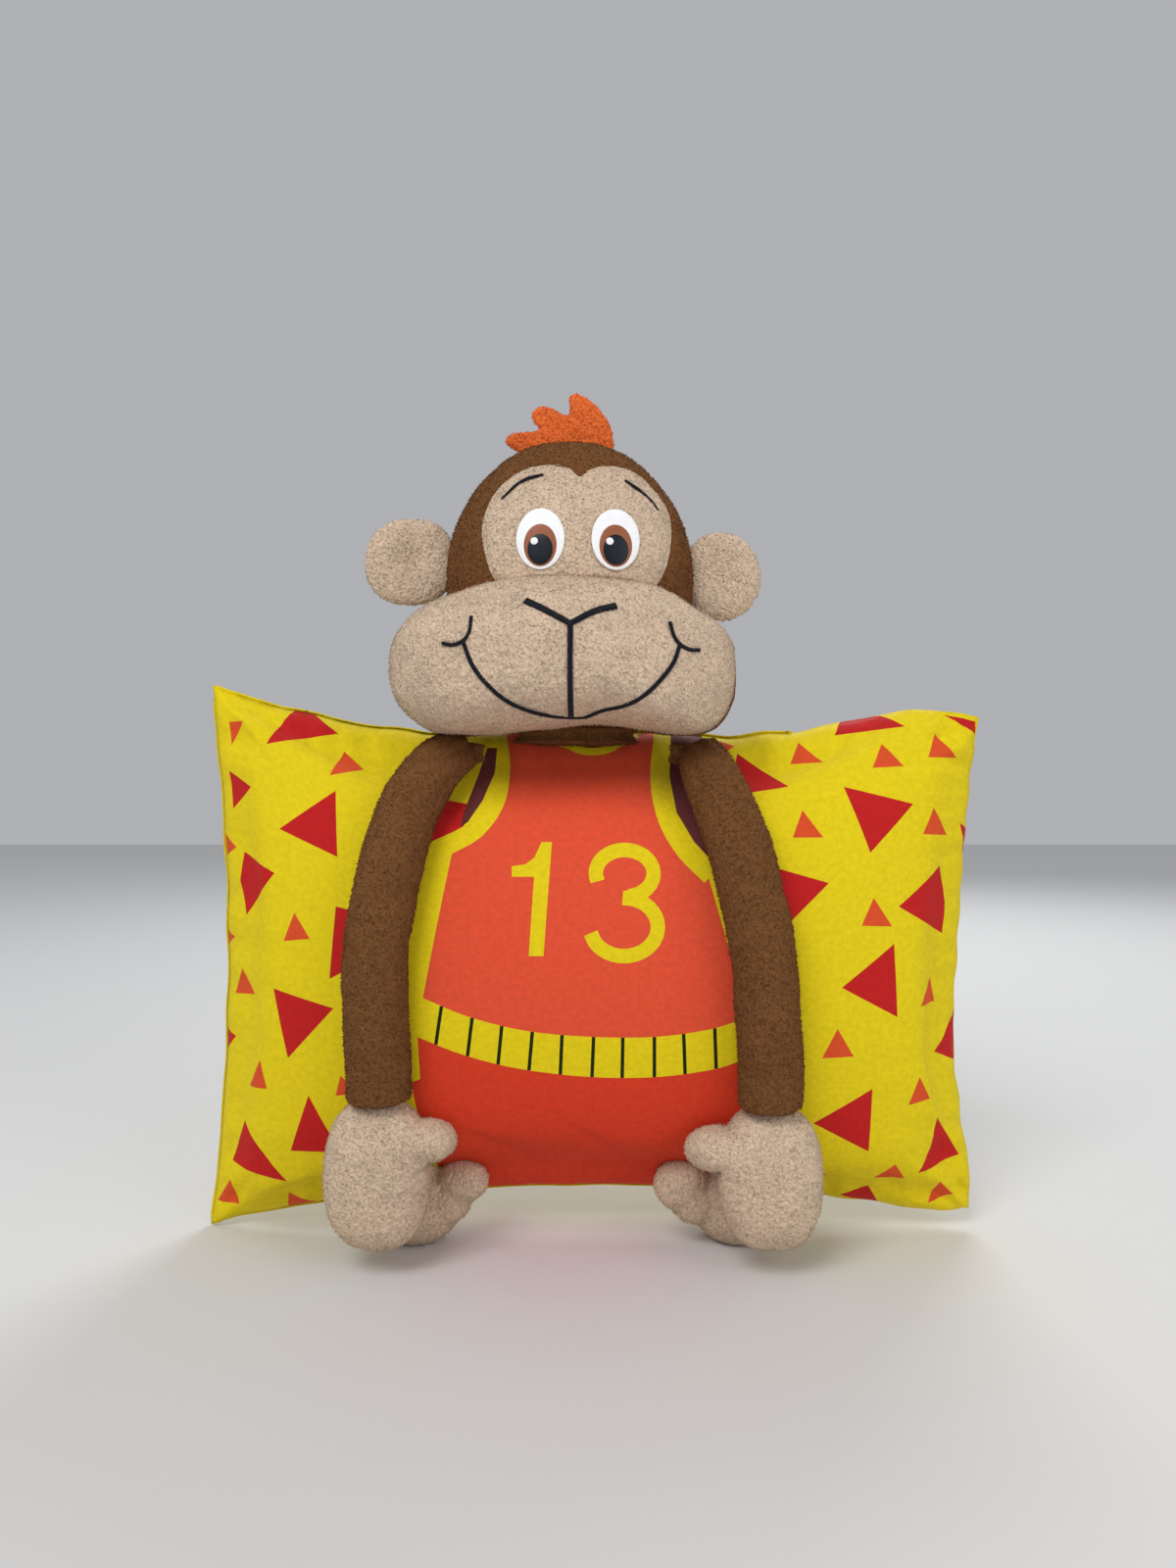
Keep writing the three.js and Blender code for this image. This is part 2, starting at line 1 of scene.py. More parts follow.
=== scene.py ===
import bpy
import bmesh
import json
import math
import numpy as np
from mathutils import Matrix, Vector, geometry


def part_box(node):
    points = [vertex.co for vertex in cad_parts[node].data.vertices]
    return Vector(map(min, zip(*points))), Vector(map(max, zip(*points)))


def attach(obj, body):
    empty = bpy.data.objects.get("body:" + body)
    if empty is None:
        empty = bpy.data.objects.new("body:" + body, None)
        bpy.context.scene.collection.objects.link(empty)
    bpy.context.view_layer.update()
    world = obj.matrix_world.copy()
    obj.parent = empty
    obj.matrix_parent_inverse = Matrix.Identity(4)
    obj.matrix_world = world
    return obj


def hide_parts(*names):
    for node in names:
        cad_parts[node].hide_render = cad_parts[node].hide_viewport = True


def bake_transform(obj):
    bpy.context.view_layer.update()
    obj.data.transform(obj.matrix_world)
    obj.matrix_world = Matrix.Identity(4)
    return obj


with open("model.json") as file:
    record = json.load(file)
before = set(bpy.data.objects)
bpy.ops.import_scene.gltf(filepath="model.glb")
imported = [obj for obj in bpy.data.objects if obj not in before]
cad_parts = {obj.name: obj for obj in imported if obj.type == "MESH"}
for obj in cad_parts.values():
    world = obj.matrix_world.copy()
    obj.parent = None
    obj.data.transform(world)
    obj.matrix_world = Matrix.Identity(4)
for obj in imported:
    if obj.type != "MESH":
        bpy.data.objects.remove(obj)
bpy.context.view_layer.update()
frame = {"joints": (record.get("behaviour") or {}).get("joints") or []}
MM = 0.001


# ---- Camera, floor and studio light ----
# The toy is seen straight on, from a little over half its height, with a wide lens held close.
# A pale floor and big soft boxes stand in for a small studio.

camera_data = bpy.data.cameras.new("camera")
camera_data.lens = 26
camera_data.sensor_width = 36
camera_data.clip_start = 0.01
camera = bpy.data.objects.new("camera", camera_data)
camera.location = (-4 * MM, -615.9 * MM, 246.6 * MM)
camera.rotation_euler = (math.radians(90), 0, 0)
bpy.context.collection.objects.link(camera)
bpy.context.scene.camera = camera
# plain colours, so that the printed yellow stays as strong as it is on the cloth
bpy.context.scene.view_settings.view_transform = "Standard"


def new_material(name, colour, roughness):
    material = bpy.data.materials.new(name)
    material.use_nodes = True
    shader = material.node_tree.nodes["Principled BSDF"]
    shader.inputs["Base Color"].default_value = (*colour, 1)
    shader.inputs["Roughness"].default_value = roughness
    return material, shader


floor_mesh = bpy.data.meshes.new("floor")
floor_mesh.from_pydata([(-4, -4, 0), (4, -4, 0), (4, 4, 0), (-4, 4, 0)], [], [(0, 1, 2, 3)])
floor = bpy.data.objects.new("floor", floor_mesh)
bpy.context.collection.objects.link(floor)
floor_mesh.materials.append(new_material("floor_paint", (0.72, 0.72, 0.71), 0.9)[0])

world = bpy.data.worlds.new("studio")
bpy.context.scene.world = world
world.use_nodes = True
world.node_tree.nodes["Background"].inputs["Color"].default_value = (0.93, 0.95, 1.0, 1)
world.node_tree.nodes["Background"].inputs["Strength"].default_value = 0.46


def soft_box(name, place, target, size, power):
    light = bpy.data.lights.new(name, "AREA")
    light.shape = "SQUARE"
    light.size = size
    light.energy = power
    lamp = bpy.data.objects.new(name, light)
    lamp.location = place
    aim = np.array(target) - np.array(place)
    lamp.rotation_euler = (
        math.acos(-aim[2] / np.linalg.norm(aim)),
        0,
        math.atan2(aim[1], aim[0]) - math.pi / 2,
    )
    bpy.context.collection.objects.link(lamp)


soft_box("key_light", (-0.75, -1.5, 1.75), (0, 0, 0.25), 1.0, 23)
soft_box("fill_light", (1.3, -1.3, 0.9), (0, 0, 0.22), 1.1, 8)
soft_box("back_light", (0.5, 1.5, 1.5), (0, 0, 0.25), 1.0, 16)


# ---- Pillow cover: the filled shape ----
# The cover is two cotton panels cut 457 x 330 mm, sewn right round, with a fibre-filled insert
# that swells them. The seam draws in as the cover fills, which puckers the cloth along it.

cut_width = 457 * MM
cut_height = 330 * MM
cover_low, cover_high = (np.array(corner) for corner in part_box("cover_front"))
seam_y = cover_high[1]
half_width = (cover_high[0] - cover_low[0]) / 2
pillow_height = 301 * MM
half_thickness = seam_y - cover_low[1]
top_dip = 33 * MM
bottom_rise = 23 * MM
side_dip = 10 * MM
most_swell = 9 * MM
settling_steps = 24
seam_freedom = 0.12
cloth_columns = 104
cloth_rows = 76


def filled_cover(u, v, side):
    """Where a point of the cut cloth lies once filled: u across and v up, from -1 to 1."""
    neck_lift = 8 * MM * np.exp(-(((u * half_width + 10 * MM) / (74 * MM)) ** 4))
    top = pillow_height - top_dip * (1 - u**2) + neck_lift
    bottom = bottom_rise * np.maximum(0, 1 - u**2) ** 0.8
    x = u * (half_width - side_dip * (1 - v**2))
    z = bottom + (v + 1) / 2 * (top - bottom)
    thick = np.maximum(0, 1 - np.abs(u) ** 2.6) ** 0.6 * np.maximum(0, 1 - v**2) ** 0.55
    # the toy's left end is slacker: its top corner folds down and its lower half pulls in
    left_top = np.clip((u - 0.72) / 0.28, 0, 1) ** 2 * np.clip((v - 0.3) / 0.7, 0, 1)
    left_low = np.clip((u - 0.6) / 0.4, 0, 1) ** 2 * np.exp(-(((v + 0.35) / 0.4) ** 2))
    left_foot = np.clip((u - 0.8) / 0.2, 0, 1) ** 2 * np.clip((-v - 0.7) / 0.3, 0, 1) ** 2
    z = z - 17 * MM * left_top + 9 * MM * left_foot
    x = x - 5 * MM * left_low - 6 * MM * left_foot
    y = seam_y + side * thick * half_thickness
    return np.stack([x, y, z], -1)


def cut_grid():
    """The places u, v of the cloth's points, row by row."""
    return np.meshgrid(np.linspace(-1, 1, cloth_columns + 1), np.linspace(-1, 1, cloth_rows + 1))


def vertex_values(mesh, what="co"):
    """The points of a mesh, or the normals at them, as an array."""
    values = np.empty(len(mesh.vertices) * 3, np.float32)
    mesh.vertices.foreach_get(what, values)
    return values.reshape(-1, 3)


def simulated_cover():
    """Both panels sewn at the edge. Pressure settles them from their filled shape with the lengths of
    the flat cut, the seam nearly held. Gives the front and back as grids of points."""
    u, v = cut_grid()
    start = [filled_cover(u, v, side) for side in (-1, 1)]
    ids = [np.arange(u.size).reshape(u.shape), np.zeros(u.shape, int)]
    inner = (np.abs(u) < 1) & (np.abs(v) < 1)
    ids[1][~inner] = ids[0][~inner]
    ids[1][inner] = u.size + np.arange(inner.sum())
    points = np.concatenate([start[0].reshape(-1, 3), start[1][inner]])
    flat = np.stack([u * cut_width / 2, np.full(u.shape, seam_y), (v + 1) * cut_height / 2], -1)
    flat_back = flat[inner] + np.array([0, 0.2 * MM, 0])
    flat_points = np.concatenate([flat.reshape(-1, 3), flat_back])
    faces = []
    for layer, order in ((ids[0], (0, 1, 2, 3)), (ids[1], (3, 2, 1, 0))):
        corners = [layer[:-1, :-1], layer[:-1, 1:], layer[1:, 1:], layer[1:, :-1]]
        faces.append(np.stack([corners[k] for k in order], -1).reshape(-1, 4))
    mesh = bpy.data.meshes.new("cover_form")
    mesh.from_pydata(points.tolist(), [], np.concatenate(faces).tolist())
    form = bpy.data.objects.new("cover_form", mesh)
    bpy.context.collection.objects.link(form)
    form.shape_key_add(name="filled")
    cut = form.shape_key_add(name="cut")
    cut.data.foreach_set("co", flat_points.astype(np.float32).ravel())
    cloth = form.modifiers.new("cloth", "CLOTH").settings
    cloth.quality = 7
    cloth.mass = 0.2
    cloth.tension_stiffness = 18
    cloth.compression_stiffness = 18
    cloth.shear_stiffness = 6
    cloth.bending_stiffness = 0.12
    cloth.use_pressure = True
    cloth.uniform_pressure_force = 3.2
    cloth.effector_weights.gravity = 0
    cloth.rest_shape_key = cut
    for step in range(1, settling_steps + 1):
        bpy.context.scene.frame_set(step)
    shape = form.evaluated_get(bpy.context.evaluated_depsgraph_get()).data
    moved = vertex_values(shape).astype(float)
    bpy.context.scene.frame_set(1)
    bpy.data.objects.remove(form)
    shift = moved - points
    reach = np.linalg.norm(shift, axis=1, keepdims=True)
    shift *= np.minimum(1, most_swell / np.maximum(reach, 1e-9)) * 0.92
    from_seam = np.minimum(1 - np.abs(u), 1 - np.abs(v)) / 0.1
    free = seam_freedom + (1 - seam_freedom) * np.clip(from_seam, 0, 1) ** 2
    shift *= np.concatenate([free.ravel(), free[inner]])[:, None]
    settled = points + shift
    return [settled[layer] for layer in ids]


def ripple(along, length, seed):
    """A smooth uneven wave of about one length, from -1 to 1."""
    draw = np.random.default_rng(seed)
    total = np.zeros(np.shape(along))
    for _ in range(6):
        pitch = length * draw.uniform(0.65, 1.6)
        total += np.sin(2 * math.pi * along / pitch + draw.uniform(0, 2 * math.pi))
    return total / 3


def puckered(panels):
    """The panels with the gathers that the seam makes: short ripples that run in from it, and longer
    folds that spread from the corners."""
    u, v = cut_grid()
    across, upward = u * cut_width / 2, v * cut_height / 2
    made = []
    for side, panel in enumerate(panels):
        panel = panel.copy()
        toward = -1 if side == 0 else 1
        edges = [
            (cut_height / 2 - upward, across, 1), (cut_height / 2 + upward, across, 2),
            (cut_width / 2 - across, upward, 3), (cut_width / 2 + across, upward, 4),
        ]
        for gap, along, seed in edges:
            rise = np.exp(-gap / (17 * MM)) * (1 - np.exp(-gap / (3.5 * MM)))
            panel[..., 1] += toward * 2.6 * MM * rise * ripple(along, 21 * MM, seed + 10 * side)
            slack = np.exp(-gap / (8 * MM)) * ripple(along, 38 * MM, seed) * 0.6 * MM
            panel[..., 2 if seed < 3 else 0] += slack
        for sign_x, sign_z, height in ((-1, -1, 2.2), (-1, 1, 2.0), (1, 1, 4.0), (1, -1, 5.0)):
            beside = cut_width / 2 - sign_x * across
            above = cut_height / 2 - sign_z * upward
            reach = np.hypot(beside, above)
            turn = np.arctan2(above, beside)
            fold = np.sin(turn * 9 + sign_x * 1.3 + 2 * sign_z + reach / (30 * MM))
            fade = np.exp(-reach / (34 * MM)) * np.clip(reach / (22 * MM), 0, 1)
            fade *= np.clip(np.minimum(beside, above) / (5 * MM), 0, 1)
            panel[..., 1] += toward * height * MM * fold * fade
        panel[..., 2] = np.maximum(panel[..., 2], 0.8 * MM)
        panel[..., 0] = np.clip(panel[..., 0], 0.4 * MM - half_width, half_width - 0.4 * MM)
        made.append(panel)
    return made


cover_panels = puckered(simulated_cover())


def spline_weights(t):
    """The weights of four neighbouring points on a smooth line, at t from the second to the third."""
    return np.stack([
        -0.5 * t + t**2 - 0.5 * t**3,
        1 - 2.5 * t**2 + 1.5 * t**3,
        0.5 * t + 2 * t**2 - 1.5 * t**3,
        -0.5 * t**2 + 0.5 * t**3,
    ])


def on_cover(u, v, back=0):
    """Points of the finished cover, smoothly between the points of its panel."""
    grid = cover_panels[back]
    a = (np.clip(u, -1, 1) + 1) / 2 * cloth_columns
    b = (np.clip(v, -1, 1) + 1) / 2 * cloth_rows
    i = np.clip(np.floor(a).astype(int), 0, cloth_columns - 1)
    j = np.clip(np.floor(b).astype(int), 0, cloth_rows - 1)
    wide = spline_weights(a - i)
    high = spline_weights(b - j)
    total = np.zeros(np.shape(u) + (3,))
    for m in range(4):
        for n in range(4):
            column = np.clip(i + m - 1, 0, cloth_columns)
            row = np.clip(j + n - 1, 0, cloth_rows)
            total += (wide[m] * high[n])[..., None] * grid[row, column]
    return total


def cloth_place(x, z, back=0):
    """The cut-cloth place u, v that ends up at x, z when the cover is filled."""
    u = x / half_width
    v = z / (pillow_height / 2) - 1
    for _ in range(25):
        seen = on_cover(u, v, back)
        u = np.clip(u + (x - seen[..., 0]) / half_width * 0.9, -1, 1)
        v = np.clip(v + (z - seen[..., 2]) / (pillow_height / 2) * 0.9, -1, 1)
    return u, v


# ---- Pillow cover: the print ----
# The cotton is printed before it is cut: yellow with big dark red and small orange triangles, and
# on the front the figure's sleeveless shirt and shorts. Sizes are where the print shows when filled.

yellow = (0.82, 0.64, 0.008)
triangle_red = (0.56, 0.014, 0.014)
triangle_orange = (0.74, 0.085, 0.022)
shirt_red = (0.80, 0.088, 0.037)
shorts_red = (0.72, 0.05, 0.018)
printed_skin = (0.135, 0.03, 0.03)
stripe_dark = (0.012, 0.02, 0.004)

big_triangles = [
    [(-166, 292), (-177, 268), (-141, 274)], [(-201, 254), (-185, 245), (-198, 233)],
    [(-136, 243), (-166, 223), (-133, 209)], [(-190, 210), (-168, 200), (-188, 176), (-193, 194)],
    [(-133, 184), (-120, 181), (-121, 155), (-136, 147)], [(-168, 140), (-134, 132), (-160, 104)],
    [(-211, 113), (-196, 109), (-213, 90)], [(-149, 85), (-161, 53), (-133, 54)],
    [(-189, 65), (-199, 40), (-165, 34)], [(-78, 238), (-66, 236), (-68, 222), (-85, 216), (-90, 231)],
    [(137, 282), (156, 286), (170, 278), (131, 273)], [(77, 263), (101, 245), (70, 240)],
    [(194, 285), (215, 281), (216, 272)], [(130, 245), (168, 236), (142, 211)],
    [(200, 225), (212, 220), (205, 207)], [(184, 203), (157, 183), (187, 166), (189, 183)],
    [(84, 206), (119, 196), (93, 172)], [(154, 164), (125, 143), (156, 126)],
    [(199, 123), (183, 102), (199, 94)], [(143, 89), (112, 72), (143, 54)],
    [(183, 68), (200, 43), (173, 38), (180, 51)], [(148, 29), (134, 22), (158, 13)],
]
small_triangles = [
    [(-202, 281), (-192, 281), (-200, 268)], [(-136, 264), (-140, 251), (-124, 254)],
    [(-206, 220), (-196, 212), (-204, 207)], [(-156, 180), (-162, 165), (-147, 167)],
    [(-207, 167), (-197, 163), (-205, 157)], [(-191, 147), (-197, 132), (-182, 134)],
    [(-177, 101), (-185, 85), (-173, 86)], [(-200, 30), (-210, 15), (-196, 15)],
    [(-168, 23), (-154, 16), (-172, 8)], [(-92, 187), (-78, 187), (-90, 173)],
    [(-131, 97), (-134, 86), (-121, 88)], [(111, 269), (105, 257), (122, 258)],
    [(154, 268), (147, 255), (165, 256)], [(186, 274), (180, 261), (198, 261)],
    [(63, 272), (76, 267), (68, 262)], [(107, 233), (101, 219), (117, 219)],
    [(181, 234), (173, 220), (190, 219)], [(143, 188), (136, 174), (153, 173)],
    [(178, 144), (170, 130), (182, 130)], [(123, 122), (115, 107), (132, 107)],
    [(170, 93), (164, 78), (177, 80)], [(159, 45), (149, 36), (166, 35)],
    [(187, 31), (197, 21), (183, 16)], [(110, 46), (124, 38), (112, 37)],
]


def rounded_line(points, steps=8):
    """A smooth open line through a few points."""
    points = np.array(points, float)
    padded = np.concatenate([2 * points[:1] - points[1:2], points, 2 * points[-1:] - points[-2:-1]])
    line = []
    for k in range(len(points) - 1):
        for t in np.linspace(0, 1, steps, endpoint=False):
            line.append(spline_weights(t) @ padded[k : k + 4])
    line.append(points[-1])
    return np.array(line)


def band(points, width, steps=8):
    """A closed outline around a smooth line: a printed band of one width."""
    line = rounded_line(points, steps)
    along = np.gradient(line, axis=0)
    along /= np.linalg.norm(along, axis=1, keepdims=True)
    across = np.stack([-along[:, 1], along[:, 0]], -1) * width / 2
    return np.concatenate([line + across, (line - across)[::-1]])


def arc(centre, radii, start, stop, steps=14):
    angles = np.radians(np.linspace(start, stop, steps))
    return [(centre[0] + radii[0] * math.cos(a), centre[1] + radii[1] * math.sin(a)) for a in angles]


right_armhole = [(-49.5, 276), (-45.7, 256), (-47.3, 236), (-58, 220), (-73.2, 211)]
left_armhole = [(36, 276), (32.4, 250), (34.6, 230), (43.5, 213), (57, 199)]
waist_top = [(-87, 139), (-64, 130), (-35, 123), (-2, 120), (30, 120), (59, 124), (76, 130)]
waist_foot = [(-90, 119), (-66, 110), (-37, 103), (-2, 99), (31, 99), (60, 103), (78, 109)]
collar = [(-38, 274), (-27, 270.5), (-16, 268), (-9, 265), (-2, 264), (6, 265), (14, 269), (23, 274)]
right_slit = [
    (-58.5, 266), (-53.5, 266), (-53.8, 252), (-58.5, 238), (-65.5, 227), (-69.5, 224.5), (-67.6, 233),
    (-62.5, 250),
]
left_skin = [(42, 276), (39.4, 250), (41.5, 232), (50, 217), (62, 204), (67, 214), (63, 236), (59, 276)]
digit_one = [
    (-42.5, 205), (-42.5, 199.8), (-31.2, 199.8), (-33.6, 160.6), (-26.2, 160.6), (-22.3, 217), (-27.6, 217),
    (-31, 209.5), (-35.5, 206),
]
digit_three_top = arc((14.5, 201.5), (14.6, 11.6), 200, -82)
digit_three_foot = arc((14, 175), (17, 14.4), 92, -168)
digit_stroke = 7.2
waist_stripes = 10
first_stripe_x = -77.5
stripe_pitch = 15.2
stripe_width = 1.8
collar_width = 4.2
armhole_width = 6.6


def rounded_points(points):
    return [tuple(point) for point in rounded_line(points)]


def shirt_print():
    """The front print, as (outline, colour), each laid over the ones before it."""
    right, left, top, foot, neckline = (
        rounded_points(line) for line in (right_armhole, left_armhole, waist_top, waist_foot, collar)
    )
    shirt = right + top + left[::-1] + neckline[::-1]
    shorts = foot + [(81, 92), (74, 60), (66, 12), (-78, 12), (-88, 60), (-94, 95), (-89, 97)]
    neck = [(-38, 279)] + neckline + [(23, 279)]
    right_side = rounded_points([(-53, 276), (-53.3, 250), (-57, 235), (-66.6, 225.5), (-84, 217)])
    right_side += [(-100, 140), (-87, 139)] + right[::-1]
    left_side = rounded_points([(43, 276), (39.5, 250), (41.5, 232), (50, 219), (64, 204)])
    left_side += [(84, 190), (92, 131), (76, 130)] + left[::-1]
    layers = [(shape, triangle_red) for shape in big_triangles]
    layers += [(shape, triangle_orange) for shape in small_triangles]
    layers += [(right_side, yellow), (left_side, yellow)]
    layers += [(right_slit, printed_skin), (left_skin, printed_skin), (shirt, shirt_red), (neck, printed_skin)]
    layers += [(band(collar, collar_width), yellow), (band(left_armhole, armhole_width), yellow)]
    layers += [(top + foot[::-1], yellow), (shorts, shorts_red)]
    tops = rounded_line(waist_top, 40)
    feet = rounded_line(waist_foot, 40)
    for k in range(waist_stripes):
        x = first_stripe_x + k * stripe_pitch
        above = tops[np.argmin(np.abs(tops[:, 0] - x))]
        # the stripes spread a little towards their feet
        below = feet[np.argmin(np.abs(feet[:, 0] - x * 1.03 + 0.6))]
        layers.append((band([above, below], stripe_width, 2), stripe_dark))
    layers.append((digit_one, yellow))
    layers += [(band(half, digit_stroke, 2), yellow) for half in (digit_three_top, digit_three_foot)]
    return layers


def split_long_sides(outline, longest):
    """The same closed outline, with its long sides split so that it can follow a curved surface."""
    points = []
    for here, there in zip(outline, np.roll(outline, -1, axis=0)):
        parts = max(1, math.ceil(np.linalg.norm(there - here) / longest))
        points += [here + (there - here) * k / parts for k in range(parts)]
    return np.array(points)


def inside(points, outline):
    """Which points lie in a closed outline."""
    found = np.zeros(len(points), bool)
    x, y = points[:, 0], points[:, 1]
    for (ax, ay), (bx, by) in zip(outline, np.roll(outline, -1, axis=0)):
        if ay != by:
            found ^= ((ay > y) != (by > y)) & (x < (bx - ax) * (y - ay) / (by - ay) + ax)
    return found


def mesh_object(name, points, faces, material):
    mesh = bpy.data.meshes.new(name)
    mesh.from_pydata(np.asarray(points, float).tolist(), [], [list(map(int, face)) for face in faces])
    mesh.validate()
    mesh.update()
    mesh.shade_smooth()
    mesh.materials.append(material)
    made = bpy.data.objects.new(name, mesh)
    bpy.context.collection.objects.link(made)
    return made


def vertex_normals(points, faces):
    """Normals at the points of a mesh of quads or triangles."""
    normals = np.zeros_like(points)
    faces = np.asarray(faces)
    first, second = points[faces[:, 2]] - points[faces[:, 0]], points[faces[:, -1]] - points[faces[:, 1]]
    facing = np.cross(first, second)
    for corner in range(faces.shape[1]):
        for axis in range(3):
            normals[:, axis] += np.bincount(faces[:, corner], facing[:, axis], len(points))
    return normals / np.maximum(np.linalg.norm(normals, axis=1, keepdims=True), 1e-12)


def lined(points, faces, thickness):
    """A sheet of cloth given a wall: the same sheet again inside it, joined round every edge. Its outer
    faces come first, then its inner ones and its rim."""
    faces = np.asarray(faces)
    inner = points - vertex_normals(points, faces) * thickness
    count = len(points)
    sides = np.stack([faces, np.roll(faces, -1, axis=1)], -1).reshape(-1, 2)
    sides = sides[sides[:, 0] != sides[:, 1]]
    keys = np.sort(sides, axis=1)
    _, where, seen = np.unique(keys[:, 0] * count + keys[:, 1], return_index=True, return_counts=True)
    rim = sides[where[seen == 1]]
    walls = np.stack([rim[:, 1], rim[:, 0], rim[:, 0] + count, rim[:, 1] + count], -1)
    every_face = faces.tolist() + (faces[:, ::-1] + count).tolist() + walls.tolist()
    return np.concatenate([points, inner]), every_face


# Plain woven cotton has fine crossing threads, and the faint mottling of ink that has sunk into them.

def fill_inputs(tree, made, inputs):
    """Gives a node's inputs their values, or joins them to the outputs of other nodes."""
    for name, value in inputs.items():
        if isinstance(value, bpy.types.NodeSocket):
            tree.links.new(value, made.inputs[name])
        else:
            made.inputs[name].default_value = value


def node(tree, kind, inputs=None, **settings):
    made = tree.nodes.new(kind)
    for name, value in settings.items():
        setattr(made, name, value)
    fill_inputs(tree, made, inputs or {})
    return made


def node_group(name, kind, inputs, outputs):
    """An empty group with named sockets, and the outputs of the node that brings its inputs in."""
    group = bpy.data.node_groups.new(name, kind)
    for sockets, way in ((inputs, "INPUT"), (outputs, "OUTPUT")):
        for label, data in sockets.items():
            group.interface.new_socket(label, in_out=way, socket_type="NodeSocket" + data)
    return group, node(group, "NodeGroupInput").outputs


def noise(tree, place, scale, detail, roughness=0.5):
    wanted = {"Vector": place, "Scale": scale, "Detail": detail, "Roughness": roughness}
    return node(tree, "ShaderNodeTexNoise", wanted).outputs


def maths(tree, operation, *values):
    return node(tree, "ShaderNodeMath", dict(enumerate(values)), operation=operation).outputs[0]


def remapped(tree, value, old, new):
    """A value moved from one range to another."""
    ends = {"From Min": old[0], "From Max": old[1], "To Min": new[0], "To Max": new[1]}
    return node(tree, "ShaderNodeMapRange", {"Value": value, **ends}).outputs["Result"]


def scaled(tree, colour, share):
    return node(tree, "ShaderNodeVectorMath", {0: colour, "Scale": share}, operation="SCALE").outputs["Vector"]


def bumped(tree, height, strength, distance):
    wanted = {"Height": height, "Strength": strength, "Distance": distance}
    return node(tree, "ShaderNodeBump", wanted).outputs["Normal"]


def weave_group():
    group, given = node_group(
        "cotton_weave", "ShaderNodeTree",
        {"Place": "Vector", "Threads per metre": "Float"}, {"Height": "Float", "Mottle": "Float"},
    )
    wanted = {"Vector": given["Place"], "Scale": given["Threads per metre"], "Distortion": 1.2, "Detail": 1}
    warp, weft = (
        node(group, "ShaderNodeTexWave", wanted, bands_direction=way).outputs["Fac"] for way in ("X", "Y")
    )
    node(group, "NodeGroupOutput", {
        "Height": maths(group, "ADD", warp, weft),
        "Mottle": noise(group, given["Place"], 260, 4, 0.6)["Fac"],
    })
    return group


cotton_weave = weave_group()


def printed_cotton_material():
    material, shader = new_material("printed_cotton", yellow, 0.78)
    tree = material.node_tree
    ink = node(tree, "ShaderNodeAttribute", attribute_name="print").outputs["Color"]
    cloth = node(tree, "ShaderNodeUVMap", uv_map="cut").outputs["UV"]
    threads = {"Place": cloth, "Threads per metre": 330}
    weave = node(tree, "ShaderNodeGroup", threads, node_tree=cotton_weave).outputs
    worn = remapped(tree, weave["Mottle"], (0.3, 0.7), (0.9, 1.06))
    fill_inputs(tree, shader, {
        "Base Color": scaled(tree, ink, worn),
        "Normal": bumped(tree, weave["Height"], 0.35, 0.25 * MM),
        "Sheen Weight": 0.03,
        "Sheen Roughness": 0.45,
        "Sheen Tint": (1.0, 0.85, 0.4, 1),
        "Specular IOR Level": 0.14,
    })
    return material


printed_cotton = printed_cotton_material()
cotton_thickness = 0.7 * MM
longest_side = 4.0


